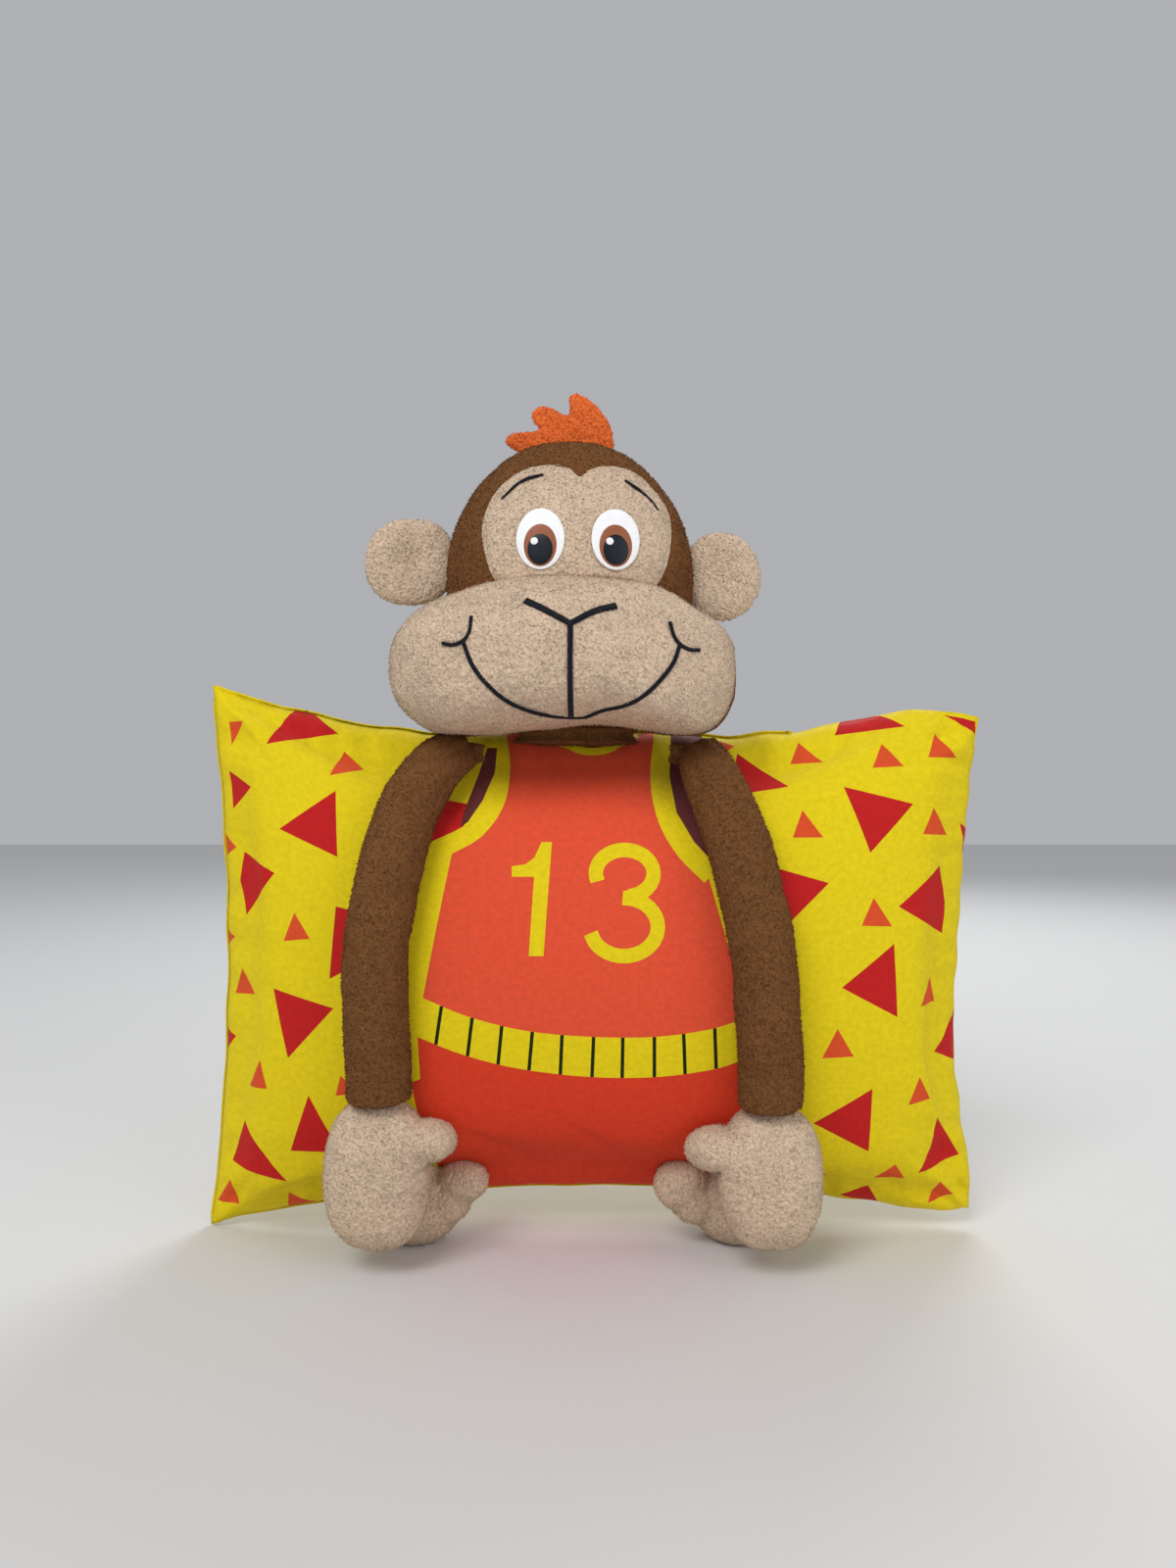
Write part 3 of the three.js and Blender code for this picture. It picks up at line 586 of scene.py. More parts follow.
def printed_panel(name, layers, low, high, back, lift, spacing):
    """One printed panel between two places on the cut cloth. The print's outlines are edges of its
    mesh, so each colour ends in a clean line. back is 0 or 1, and lift raises it off the filling."""
    across = max(2, round((high[0] - low[0]) * cut_width / 2 / spacing))
    upward = max(2, round((high[1] - low[1]) * cut_height / 2 / spacing))
    u, v = np.meshgrid(np.linspace(low[0], high[0], across + 1), np.linspace(low[1], high[1], upward + 1))
    places = [np.stack([u.ravel(), v.ravel()], -1)]
    edges = []
    grid_ids = np.arange(u.size).reshape(u.shape)
    for line in (grid_ids[0], grid_ids[-1], grid_ids[:, 0], grid_ids[:, -1]):
        edges += [(int(a), int(b)) for a, b in zip(line[:-1], line[1:])]
    count = u.size
    outlines = []
    for outline, colour in layers:
        outline = split_long_sides(np.array(outline, float), longest_side) * MM
        placed = np.stack(cloth_place(outline[:, 0], outline[:, 1], back), -1)
        outlines.append((placed, colour))
        kept = np.clip(placed, np.array(low), np.array(high))
        places.append(kept)
        ids = [count + k for k in range(len(kept))]
        edges += list(zip(ids, ids[1:] + ids[:1]))
        count += len(kept)
    flat = np.concatenate(places)
    result = geometry.delaunay_2d_cdt([tuple(p) for p in flat.tolist()], edges, [], 0, 1e-6)
    flat = np.array([tuple(p) for p in result[0]])
    faces = np.array(result[2])
    centres = flat[faces].mean(axis=1)
    corners = flat[faces]
    twice = np.cross(corners[:, 1] - corners[:, 0], corners[:, 2] - corners[:, 0])
    keep = np.abs(twice) > 1e-9
    faces, centres, twice = faces[keep], centres[keep], twice[keep]
    faces[twice < 0] = faces[twice < 0][:, ::-1]
    colours = np.tile(np.array(yellow), (len(faces), 1))
    for outline, colour in outlines:
        colours[inside(centres, outline)] = colour
    points = on_cover(flat[:, 0], flat[:, 1], back)
    if back:
        faces = faces[:, ::-1]
    points = points + vertex_normals(points, faces) * lift
    both, walls = lined(points, faces, cotton_thickness)
    panel = mesh_object(name, both, walls, printed_cotton)
    mesh = panel.data
    # the inner faces and the rim stay plain yellow
    ink = np.ones((len(mesh.polygons), 4))
    ink[:, :3] = yellow
    ink[: len(colours), :3] = colours
    counts = np.array([polygon.loop_total for polygon in mesh.polygons])
    attribute = mesh.color_attributes.new("print", "FLOAT_COLOR", "CORNER")
    attribute.data.foreach_set("color", np.repeat(ink, counts, axis=0).ravel())
    vertex_of = np.empty(len(mesh.loops), int)
    mesh.loops.foreach_get("vertex_index", vertex_of)
    cut_place = np.concatenate([flat, flat]) * np.array([cut_width / 2, cut_height / 2])
    uv = mesh.uv_layers.new(name="cut")
    uv.data.foreach_set("uv", cut_place[vertex_of].ravel())
    return panel


cover_front = printed_panel("cover_front_panel", shirt_print(), (-1, -1), (1, 1), 0, 0.3 * MM, 3.0 * MM)
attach(cover_front, "pillow")
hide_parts("cover_front", "pillow_insert")


# ---- Pillow cover: the envelope back ----
# Two plain printed panels overlap in an upright opening. The outer one has a turned hem with a row
# of stitches and lies over the other, so that the insert can be taken out for washing.

main_hem_x = 105 * MM
flap_edge_x = 71 * MM


def back_print():
    """The same triangles, printed all over the back."""
    layers = []
    draw = np.random.default_rng(3)
    for row in range(7):
        for column in range(9):
            x = -196 + column * 49 + (row % 2) * 22
            z = 24 + row * 47 + draw.uniform(-5, 5)
            x += draw.uniform(-5, 5)
            turn = draw.uniform(0, 4)
            size = 19 + (row + column) % 3 * 2
            big = arc((x, z), (size, size), turn * 31, turn * 31 + 360, 4)[:3]
            layers.append((big, triangle_red))
            small = arc((x + 26, z + draw.uniform(16, 24)), (8.5, 8.5), 90 + turn * 6, 450 + turn * 6, 4)[:3]
            layers.append((small, triangle_orange))
    kept = []
    for shape, colour in layers:
        shape = np.array(shape)
        if np.abs(shape[:, 0]).max() < 203 and shape[:, 1].min() > 12:
            kept.append((shape, colour))
    return kept


middle_height = 150 * MM
main_hem, flap_edge = (
    float(cloth_place(np.array([x]), np.array([middle_height]), 1)[0][0]) for x in (main_hem_x, flap_edge_x)
)
panels = [
    ("cover_back_outer_panel", (-1, -1), (main_hem, 1), 1.9 * MM, "cover_back_main"),
    ("cover_back_inner_panel", (flap_edge, -1), (1, 1), 0.3 * MM, "cover_back_flap"),
]
for name, low, high, lift, stands_for in panels:
    here = []
    for shape, colour in back_print():
        u, _ = cloth_place(shape[:, 0] * MM, shape[:, 1] * MM, 1)
        if u.min() > low[0] + 0.01 and u.max() < high[0] - 0.01:
            here.append((shape, colour))
    panel = printed_panel(name, here, low, high, 1, lift, 3.6 * MM)
    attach(panel, "pillow")
    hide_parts(stands_for)


# ---- Fleece and the stuffed head ----
# Anti-pill polyester fleece, 1.8 mm thick, with a short pebbled nap. The skull is a front and a back
# of brown fleece with a heart-shaped beige face let into the front, stuffed firmly.

# The nap's colour carries painted light: painted shade in the pits between the pebbles, and painted highlights
# on the tops of the curls.
def nap_group():
    group, given = node_group(
        "fleece_nap", "ShaderNodeTree",
        {"Colour": "Color", "Pebbles per metre": "Float", "Tip highlight": "Float"},
        {"Colour": "Color", "Height": "Float"},
    )
    place = node(group, "ShaderNodeTexCoord").outputs["Object"]
    pebbles = noise(group, place, given["Pebbles per metre"], 3, 0.62)
    fibres = noise(group, place, 3200, 2, 0.7)["Fac"]
    pressed = noise(group, place, 55, 3, 0.55)["Fac"]
    wander = {0: pebbles["Color"], 1: (1.6 * MM, 1.6 * MM, 1.6 * MM), 2: place}
    wandered = node(group, "ShaderNodeVectorMath", wander, operation="MULTIPLY_ADD").outputs["Vector"]
    curl = {"Vector": wandered, "Scale": 560, "Smoothness": 0.35}
    curls = node(group, "ShaderNodeTexVoronoi", curl, feature="SMOOTH_F1").outputs["Distance"]
    mound = maths(group, "MULTIPLY_ADD", curls, -1.5, pebbles["Fac"])
    # painted shade: the colour is darkened where the pebbles sink and lightened on their tops, by the same
    # noise that raises them; patch is the fleece's own uneven tone
    depth = remapped(group, pebbles["Fac"], (0.38, 0.62), (0.83, 1.14))
    patch = remapped(group, pressed, (0.3, 0.7), (0.9, 1.08))
    # painted highlight: the raised tops of the curls are mixed towards a paler copy of the colour, as if lit,
    # as strongly as the tip highlight input says
    lit_tips = remapped(group, curls, (0.34, 0.1), (0, 1))
    highlight_inputs = {0: given["Colour"], 1: (1.45, 1.45, 1.45), 2: (0.03, 0.022, 0.014)}
    highlight_colour = node(group, "ShaderNodeVectorMath", highlight_inputs, operation="MULTIPLY_ADD").outputs["Vector"]
    # inputs 6 and 7 are the two colours that this node mixes, and output 2 is the mixed one
    shaded_and_highlighted = node(group, "ShaderNodeMix", {
        "Factor": maths(group, "MULTIPLY", lit_tips, given["Tip highlight"]),
        6: scaled(group, given["Colour"], maths(group, "MULTIPLY", depth, patch)),
        7: highlight_colour,
    }, data_type="RGBA").outputs[2]
    node(group, "NodeGroupOutput", {
        "Colour": shaded_and_highlighted,
        "Height": maths(group, "MULTIPLY_ADD", fibres, 0.3, mound),
    })
    return group


fleece_nap = nap_group()


def fleece_material(name, colour, tip_highlight):
    material, shader = new_material(name, colour, 0.95)
    tree = material.node_tree
    # the last number sets how strongly the painted highlight pales the tops of the nap's curls
    pile = {"Colour": (*colour, 1), "Pebbles per metre": 980, "Tip highlight": tip_highlight}
    nap = node(tree, "ShaderNodeGroup", pile, node_tree=fleece_nap).outputs
    fill_inputs(tree, shader, {
        "Base Color": nap["Colour"],
        "Normal": bumped(tree, nap["Height"], 0.6, 1.2 * MM),
        "Sheen Weight": 0.1,
        "Sheen Roughness": 0.6,
        "Sheen Tint": (*(min(1, 2.2 * part) for part in colour), 1),
        "Specular IOR Level": 0.06,
    })
    return material


# each fleece's last number is the strength of the painted highlight on its curl tops
brown_fleece = fleece_material("brown_fleece", (0.19, 0.08, 0.028), 0.55)
beige_fleece = fleece_material("beige_fleece", (0.71, 0.535, 0.385), 0.4)
orange_fleece = fleece_material("orange_fleece", (0.86, 0.17, 0.04), 0.3)
fleece_thickness = 1.8 * MM
fleece_made = []
walled = {}


def fasten_fleece(piece, body, finish):
    """Puts a fleece piece on its body, and keeps it in mind for its nap."""
    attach(piece, body)
    fleece_made.append((piece, finish, lambda tufts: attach(tufts, body)))


lattice_size = 64
lattice = np.random.default_rng(7).uniform(-1, 1, (lattice_size,) * 3)


def lumps(points, size):
    """Smooth seeded noise from -1 to 1, with lumps of about one size."""
    place = points / size
    cell = np.floor(place).astype(int)
    t = place - cell
    t = t * t * (3 - 2 * t)
    total = np.zeros(len(points))
    for dx in (0, 1):
        for dy in (0, 1):
            for dz in (0, 1):
                weight = np.abs(1 - dx - t[:, 0]) * np.abs(1 - dy - t[:, 1]) * np.abs(1 - dz - t[:, 2])
                corner = (cell + (dx, dy, dz)) % lattice_size
                total += weight * lattice[corner[:, 0], corner[:, 1], corner[:, 2]]
    return total


def ruffle(points, faces, nap=0.32 * MM, stuffing=0.5 * MM):
    """The surface moved a little along its normals: the nap's pebbles and the lumps of stuffing."""
    height = nap * lumps(points, 1.9 * MM) + stuffing * lumps(points, 17 * MM)
    return points + vertex_normals(points, faces) * height[:, None]


def ring_faces(rings, around, pole=True):
    """Faces between closed rings of points, all with four corners. With a pole, point 0 is the middle
    of the first ring, and each face at it has its last corner twice."""
    start = 1 if pole else 0
    faces = []
    if pole:
        for k in range(around):
            after = start + (k + 1) % around
            faces.append((0, start + k, after, after))
    for ring in range(rings - 1):
        for k in range(around):
            a = start + ring * around + k
            b = start + ring * around + (k + 1) % around
            faces.append((a, a + around, b + around, b))
    return np.array(faces, int)


skull_low, skull_high = (np.array(corner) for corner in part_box("skull_fill"))
skull_centre = (skull_low + skull_high) / 2
skull_half = (skull_high - skull_low) / 2 + fleece_thickness
skull_fullness = 2.3
face_centre = np.array([-9.5 * MM, 368 * MM])
face_outline = [
    (-8, 405), (-14, 410), (-25, 412.5), (-38, 410), (-49, 402.5), (-56.5, 391), (-59.5, 378), (-57, 362),
    (-52, 350), (-42, 342), (-9, 338), (22, 342), (33, 350), (38, 362), (40.5, 377), (38.5, 391), (31, 402.5),
    (21, 410.5), (9, 412.5), (-2, 410),
]
around_head = 288


def even_angles(count):
    return np.linspace(-math.pi, math.pi, count, endpoint=False)


def closed_curve(points, count, centre):
    """Radii of a smooth star-shaped outline at even angles about a centre."""
    points = np.array(points, float) * MM
    wrapped = np.concatenate([points[-1:], points, points[:2]])
    line = []
    for k in range(len(points)):
        for t in np.linspace(0, 1, 24, endpoint=False):
            line.append(spline_weights(t) @ wrapped[k : k + 4])
    line = np.array(line) - centre
    angle = np.arctan2(line[:, 1], line[:, 0])
    radius = np.linalg.norm(line, axis=1)
    order = np.argsort(angle)
    return np.interp(even_angles(count), angle[order], radius[order], period=2 * math.pi)


def superellipse_radii(half_wide, half_high, fullness, count):
    angle = even_angles(count)
    wide = np.abs(np.cos(angle) / half_wide) ** fullness
    high = np.abs(np.sin(angle) / half_high) ** fullness
    return (wide + high) ** (-1 / fullness)


def skull_half_width(z):
    """Half the skull's width at a height: it narrows towards the crown."""
    rise = np.clip((z - 366 * MM) / (66 * MM), 0, 1)
    return skull_half[0] * (1 - 0.09 * rise * rise * (3 - 2 * rise))


def skull_depth(x, z):
    """How far the skull stands in front of its middle plane at x, z."""
    share = np.abs((x - skull_centre[0]) / skull_half_width(z)) ** skull_fullness
    share = share + np.abs((z - skull_centre[2]) / skull_half[2]) ** skull_fullness
    return skull_half[1] * np.maximum(0, 1 - share) ** (1 / skull_fullness)


def ring_points(centre, radii, share):
    angle = even_angles(len(radii))
    return np.stack([centre[0] + share * radii * np.cos(angle), centre[1] + share * radii * np.sin(angle)], -1)


face_radii = closed_curve(face_outline, around_head, face_centre)
skull_middle = skull_centre[[0, 2]]
face_edge = ring_points(face_centre, face_radii, 1)
face_angles = np.arctan2(face_edge[:, 1] - skull_middle[1], face_edge[:, 0] - skull_middle[0])


def skull_edge(angle):
    cosine, sine = np.cos(angle), np.sin(angle)
    radius = np.full(len(angle), skull_half[0])
    for _ in range(30):
        wide = skull_half_width(skull_middle[1] + radius * sine)
        wanted = np.abs(cosine / wide) ** skull_fullness + np.abs(sine / skull_half[2]) ** skull_fullness
        radius = (radius + wanted ** (-1 / skull_fullness)) / 2
    return np.stack([skull_middle[0] + radius * cosine, skull_middle[1] + radius * sine], -1)


head_seam_depth = 1.3 * MM


def on_skull(flat, side, dip):
    """Points of the skull's front (side -1) or back (side 1), each sunk by its dip."""
    depth = skull_depth(flat[:, 0], flat[:, 1])
    points = np.stack([flat[:, 0], skull_centre[1] + side * depth, flat[:, 1]], -1)
    inward = skull_centre - points
    inward /= np.linalg.norm(inward, axis=1, keepdims=True)
    return points + inward * dip[:, None]


def seam_dip(from_seam, narrowness):
    return head_seam_depth * np.exp(-((from_seam * narrowness) ** 2))


def disc(centre, radii, rings, reach=1.0):
    """Flat points in rings from a centre out to an outline, and how far out each of them is."""
    flat = [centre[None]]
    shares = [np.zeros(1)]
    for ring in range(1, rings + 1):
        share = math.sin(ring / rings * math.pi / 2)
        flat.append(ring_points(centre, radii, share * reach))
        shares.append(np.full(len(radii), share))
    return np.concatenate(flat), np.concatenate(shares)


def face_panel_mesh():
    rings = 46
    shares = [math.sin(ring / rings * math.pi / 2) ** 0.9 for ring in range(1, rings + 1)]
    rows = [ring_points(face_centre, face_radii, share) for share in shares]
    flat = np.concatenate([face_centre[None]] + rows)
    dips = seam_dip(1 - np.repeat(shares, around_head), 9 * 3**0.5)
    return on_skull(flat, -1, np.concatenate([np.zeros(1), dips])), ring_faces(rings, around_head)


def head_front_mesh():
    rings = 40
    outer = skull_edge(face_angles)
    shares = [math.sin(ring / rings * math.pi / 2) for ring in range(rings + 1)]
    flat = np.concatenate([face_edge * (1 - share) + outer * share for share in shares])
    at = np.repeat(shares, around_head)
    dips = seam_dip(at, 5) + 0.7 * seam_dip(1 - at, 30)
    return on_skull(flat, -1, dips), ring_faces(rings + 1, around_head, False)


def head_back_mesh():
    rings = 60
    edge = skull_edge(even_angles(around_head))
    shares = [math.sin(ring / rings * math.pi / 2) for ring in range(1, rings + 1)]
    rows = [skull_middle + (edge - skull_middle) * share for share in shares]
    flat = np.concatenate([skull_middle[None]] + rows)
    dips = 0.7 * seam_dip(1 - np.repeat(shares, around_head), 30)
    points = on_skull(flat, 1, np.concatenate([np.zeros(1), dips]))
    return points, ring_faces(rings, around_head)[:, ::-1]


def tidy_faces(faces):
    """Faces as lists, with a corner that is there twice left out."""
    return [list(dict.fromkeys(int(corner) for corner in face)) for face in faces]


muzzle_front_low, muzzle_front_high = (np.array(corner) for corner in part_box("muzzle_front"))
muzzle_middle = np.array([-17 * MM, 311 * MM])
muzzle_seam_y = muzzle_front_high[1]
muzzle_depth = muzzle_seam_y - muzzle_front_low[1]
muzzle_outline = [
    (-106, 306), (-104, 293), (-97, 282), (-85, 274), (-69, 271.5), (-50, 272), (-30, 273.5), (-12, 276),
    (8, 276), (28, 273.5), (45, 271.5), (58, 273.5), (66, 280.5), (70.5, 291), (72, 303), (71, 316),
    (65, 326.5), (54, 334), (38, 344), (20, 350), (-14, 352), (-50, 350), (-72, 344), (-89, 336),
    (-99, 328), (-105, 317),
]
around_muzzle = 300
muzzle_radii = closed_curve(muzzle_outline, around_muzzle, muzzle_middle)
muzzle_fullness = 2.5


def radius_at(radii, x, z, centre):
    angle = np.arctan2(z - centre[1], x - centre[0])
    return np.interp(angle, even_angles(len(radii)), radii, period=2 * math.pi)


def muzzle_bulge(x, z):
    """How far the muzzle's front stands before its seam plane at x, z."""
    share = np.hypot(x - muzzle_middle[0], z - muzzle_middle[1]) / radius_at(muzzle_radii, x, z, muzzle_middle)
    left = 1 - np.minimum(share, 1) ** muzzle_fullness
    return muzzle_depth * np.maximum(0, left) ** (1 / muzzle_fullness)


def beside_muzzle(points, middle):
    """Sinks the fleece beside the line where the muzzle is sewn on, so that the seam lies in a groove."""
    inward = middle - points
    inward /= np.maximum(np.linalg.norm(inward, axis=1, keepdims=True), 1e-9)
    front = muzzle_seam_y - muzzle_bulge(points[:, 0], points[:, 2])
    skull = skull_centre[1] - skull_depth(points[:, 0], points[:, 2])
    near = np.exp(-(((front - skull) / (2.2 * MM)) ** 2)) * (points[:, 1] < muzzle_seam_y - 2 * MM)
    return points + inward * (2.4 * MM * near)[:, None]


def fleece_piece(name, points, faces, material, stuffing=0.5 * MM):
    """One layer of fleece with its wall."""
    points = ruffle(points, faces, stuffing=stuffing)
    walled[name] = len(faces)
    points, faces = lined(points, faces, fleece_thickness)
    return mesh_object(name, points, tidy_faces(faces), material)


head_pieces = [
    ("face_fleece", face_panel_mesh(), beige_fleece, "beige_fleece", ["face_panel"]),
    ("head_front_fleece", head_front_mesh(), brown_fleece, "brown_fleece", ["head_front"]),
    ("head_back_fleece", head_back_mesh(), brown_fleece, "brown_fleece", ["head_back", "skull_fill"]),
]
for name, (points, faces), material, finish, stands_for in head_pieces:
    piece = fleece_piece(name, beside_muzzle(points, skull_centre), faces, material)
    fasten_fleece(piece, "head", finish)
    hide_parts(*stands_for)


# ---- Muzzle ----
# A wide cushion sewn on under the face: a beige front and a brown back, seamed round the edge, so
# that a line of brown shows at its lower corners.

def dome_mesh(centre, radii, seam_y, bulge, side, rings, dip):
    """Half of a stuffed form: bulge(x, z) in front of (side -1) or behind (side 1) its seam plane."""
    flat, shares = disc(centre, radii, rings, 1 - 1e-6)
    points = np.stack([flat[:, 0], seam_y + side * bulge(flat[:, 0], flat[:, 1]), flat[:, 1]], -1)
    inward = np.array([centre[0], seam_y, centre[1]]) - points
    inward /= np.maximum(np.linalg.norm(inward, axis=1, keepdims=True), 1e-9)
    pull = dip * np.exp(-(((1 - shares) * 26) ** 2))
    faces = ring_faces(rings, len(radii))
    return points + inward * pull[:, None], faces if side < 0 else faces[:, ::-1]


muzzle_pieces = [
    ("muzzle_front_fleece", -1, 70, beige_fleece, "beige_fleece", ["muzzle_front"], 1.0),
    ("muzzle_back_fleece", 1, 40, brown_fleece, "brown_fleece", ["muzzle_back", "muzzle_fill"], 0.9),
]
for name, side, rings, material, finish, stands_for, fuller in muzzle_pieces:
    radii = muzzle_radii.copy()
    if side > 0:
        # the brown back rolls forward past the seam high on the right and low on the left
        for place in (2.96, -0.3):
            radii += 1.6 * MM * np.exp(-(((even_angles(around_muzzle) - place) / 0.28) ** 2))
    points, faces = dome_mesh(
        muzzle_middle, radii, muzzle_seam_y, lambda x, z: muzzle_bulge(x, z) * fuller, side, rings, 0.8 * MM
    )
    if side < 0:
        points = beside_muzzle(points, np.array([muzzle_middle[0], muzzle_seam_y, muzzle_middle[1]]))
    piece = fleece_piece(name, points, faces, material, stuffing=0.8 * MM)
    fasten_fleece(piece, "head", finish)
    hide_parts(*stands_for)


# ---- Eyes ----
# Four ovals of satin film for each eye, white, brown, near black and a white glint, pressed on top
# of each other onto the face.

def grained_material(name, colour, roughness, scale, detail, tones, bump):
    """A slightly glossy finish whose colour and surface vary with a fine grain."""
    material, shader = new_material(name, colour, roughness)
    tree = material.node_tree
    grain = noise(tree, node(tree, "ShaderNodeTexCoord").outputs["Object"], scale, detail)["Fac"]
    fill_inputs(tree, shader, {
        "Base Color": scaled(tree, colour, remapped(tree, grain, (0.3, 0.7), tones)),
        "Normal": bumped(tree, grain, *bump),
        "Specular IOR Level": 0.25,
    })
    return material


def film_material(name, colour, roughness):
    return grained_material(name, colour, roughness, 700, 3, (0.93, 1.03), (0.3, 0.2 * MM))


eye_white = film_material("eye_white", (0.95, 0.95, 0.95), 0.45)
eye_brown = film_material("eye_brown", (0.31, 0.1, 0.042), 0.42)
eye_black = film_material("eye_black", (0.004, 0.007, 0.014), 0.4)


def two_sided(flat, around, rings, front, back):
    """A closed form whose front and back, given by their y, share the points of the outline."""
    count = len(flat)
    rim = count - around
    faces = ring_faces(rings, around)
    turned = faces[:, ::-1] + count
    shared = np.where(turned >= count + rim, turned - count, turned)
    front_points, back_points = (np.stack([flat[:, 0], y, flat[:, 1]], -1) for y in (front, back))
    return np.concatenate([front_points, back_points[:rim]]), np.concatenate([faces, shared])


def pressed_oval(name, centre, half_wide, half_high, base, rise, material):
    """A thin closed oval that follows the skull, its edge at base off it and its middle rise higher."""
    around, rings = 72, 14
    flat, shares = disc(centre, superellipse_radii(half_wide, half_high, 2.0, around), rings)
    edge = skull_centre[1] - skull_depth(flat[:, 0], flat[:, 1]) - base
    swell = rise * (1 - shares**6) ** 0.5
    points, faces = two_sided(flat, around, rings, edge - swell, edge + swell)
    return mesh_object(name, points, tidy_faces(faces), material)


eye_layers = [
    ("white", 24.5, 31.5, 0.0, 0.0, eye_white, "eye_white"),
    ("iris", 16.6, 21.6, 0.0, 3.4, eye_brown, "eye_brown"),
    ("pupil", 12.7, 15.5, 0.0, 5.6, eye_black, "eye_black"),
    ("glint", 3.8, 3.8, -3.0, 1.5, eye_white, "eye_white"),
]
first_film = 1.0 * MM
film_step = 0.42 * MM
film_rise = 0.45 * MM
eye_centres = {"right": np.array([-28 * MM, 370 * MM]), "left": np.array([10 * MM, 370 * MM])}
for side, centre in eye_centres.items():
    base = first_film
    for layer, wide, high, shift, drop, material, finish in eye_layers:
        middle = centre + np.array([shift, -drop]) * MM
        name = f"eye_{layer}_film_{side}"
        piece = pressed_oval(name, middle, wide / 2 * MM, high / 2 * MM, base, film_rise, material)
        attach(piece, "head")
        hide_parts(f"eye_{layer}_{side}")
        base += film_step


# ---- Embroidered lines: brows, nose, philtrum, smile and cheeks ----
# Satin stitch in near-black rayon: each line is a row of short threads laid side by side across it.

dark_thread = grained_material(
    "dark_thread", (0.005, 0.006, 0.012), 0.42, 2600, 2, (0.6, 1.5), (0.4, 0.1 * MM)
)


def real_copies(tree, points, copied, turn, size, material):
    """Ends a tree with a real copy of a small mesh at each point."""
    places = {"Points": points, "Instance": copied, "Rotation": turn, "Scale": size}
    copies = node(tree, "GeometryNodeInstanceOnPoints", places).outputs["Instances"]
    real = node(tree, "GeometryNodeRealizeInstances", {"Geometry": copies}).outputs["Geometry"]
    painted = node(tree, "GeometryNodeSetMaterial", {"Geometry": real, "Material": material})
    node(tree, "NodeGroupOutput", {"Geometry": painted.outputs["Geometry"]})
    return tree


def satin_tree(name, material):
    """Lays a short thread across a line every spacing. The line's points carry its width and the
    direction that faces away from the cloth."""
    tree, given = node_group(
        name, "GeometryNodeTree",
        {"Geometry": "Geometry", "Spacing": "Float", "Thread radius": "Float", "Thread height": "Float"},
        {"Geometry": "Geometry"},
    )
    curve = node(tree, "GeometryNodeMeshToCurve", {"Mesh": given["Geometry"]}).outputs["Curve"]
    steps = {"Curve": curve, "Length": given["Spacing"]}
    even = node(tree, "GeometryNodeResampleCurve", steps, mode="LENGTH").outputs["Curve"]
    facing, width = (
        node(tree, "GeometryNodeInputNamedAttribute", {"Name": label}, data_type=data).outputs["Attribute"]
        for label, data in (("facing", "FLOAT_VECTOR"), ("half_width", "FLOAT"))
    )
    along = node(tree, "GeometryNodeInputTangent").outputs["Tangent"]
    axes = {"Primary Axis": facing, "Secondary Axis": along}
    turn = node(tree, "FunctionNodeAxesToRotation", axes, primary_axis="Z", secondary_axis="Y")
    sizes = {"X": width, "Y": given["Thread radius"], "Z": given["Thread height"]}
    size = node(tree, "ShaderNodeCombineXYZ", sizes).outputs["Vector"]
    thread = node(tree, "GeometryNodeMeshUVSphere", {"Segments": 8, "Rings": 5, "Radius": 1.0})
    return real_copies(tree, even, thread.outputs["Mesh"], turn.outputs["Rotation"], size, material)


satin_stitch = satin_tree("satin_stitch", dark_thread)


def settled(made, tree, inputs):
    """Runs a node tree on an object and gives a new object with the plain mesh that it makes. Each
    input is set by its socket's identifier."""
    modifier = made.modifiers.new("nodes", "NODES")
    modifier.node_group = tree
    for item in tree.interface.items_tree:
        if item.in_out == "INPUT" and item.name in inputs:
            modifier[item.identifier] = inputs[item.name]
    made.update_tag()
    result = made.evaluated_get(bpy.context.evaluated_depsgraph_get())
    mesh = bpy.data.meshes.new_from_object(result)
    name = made.name
    bpy.data.objects.remove(made)
    finished = bpy.data.objects.new(name, mesh)
    bpy.context.collection.objects.link(finished)
    mesh.shade_smooth()
    return finished


line_scale = 1.3
thread_lift = 0.35 * MM


def stitched_line(
    name, runs, surface_y, tree=satin_stitch, toward=-1, spacing=0.42 * MM, thread_radius=0.3 * MM
):
    """Satin stitch along one or more lines of (x, z, width) in millimetres on a surface."""
    points, edges, facing, half_widths = [], [], [], []
    reach = 0.5 * MM
    for run in runs:
        run = rounded_line(run, 10) * MM
        first = len(points)
        for x, z, width in run:
            y = surface_y(np.array([x]), np.array([z]))[0]
            by_x = (surface_y(np.array([x + reach]), np.array([z]))[0] - y) / reach
            by_z = (surface_y(np.array([x]), np.array([z + reach]))[0] - y) / reach
            out = np.array([by_x, -1, by_z]) * -toward
            out /= np.linalg.norm(out)
            points.append(np.array([x, y, z]) + out * thread_lift)
            facing.append(out)
            half_widths.append(width / 2 * line_scale)
        edges += [(k, k + 1) for k in range(first, len(points) - 1)]
    mesh = bpy.data.meshes.new(name)
    mesh.from_pydata([tuple(p) for p in points], edges, [])
    mesh.attributes.new("facing", "FLOAT_VECTOR", "POINT").data.foreach_set("vector", np.array(facing).ravel())
    mesh.attributes.new("half_width", "FLOAT", "POINT").data.foreach_set("value", half_widths)
    line = bpy.data.objects.new(name, mesh)
    bpy.context.collection.objects.link(line)
    thread = {"Spacing": spacing, "Thread radius": thread_radius, "Thread height": 0.6 * MM}
    return settled(line, tree, thread)


def skull_y(x, z):
    return skull_centre[1] - skull_depth(x, z)


def muzzle_y(x, z):
    return muzzle_seam_y - muzzle_bulge(x, z)


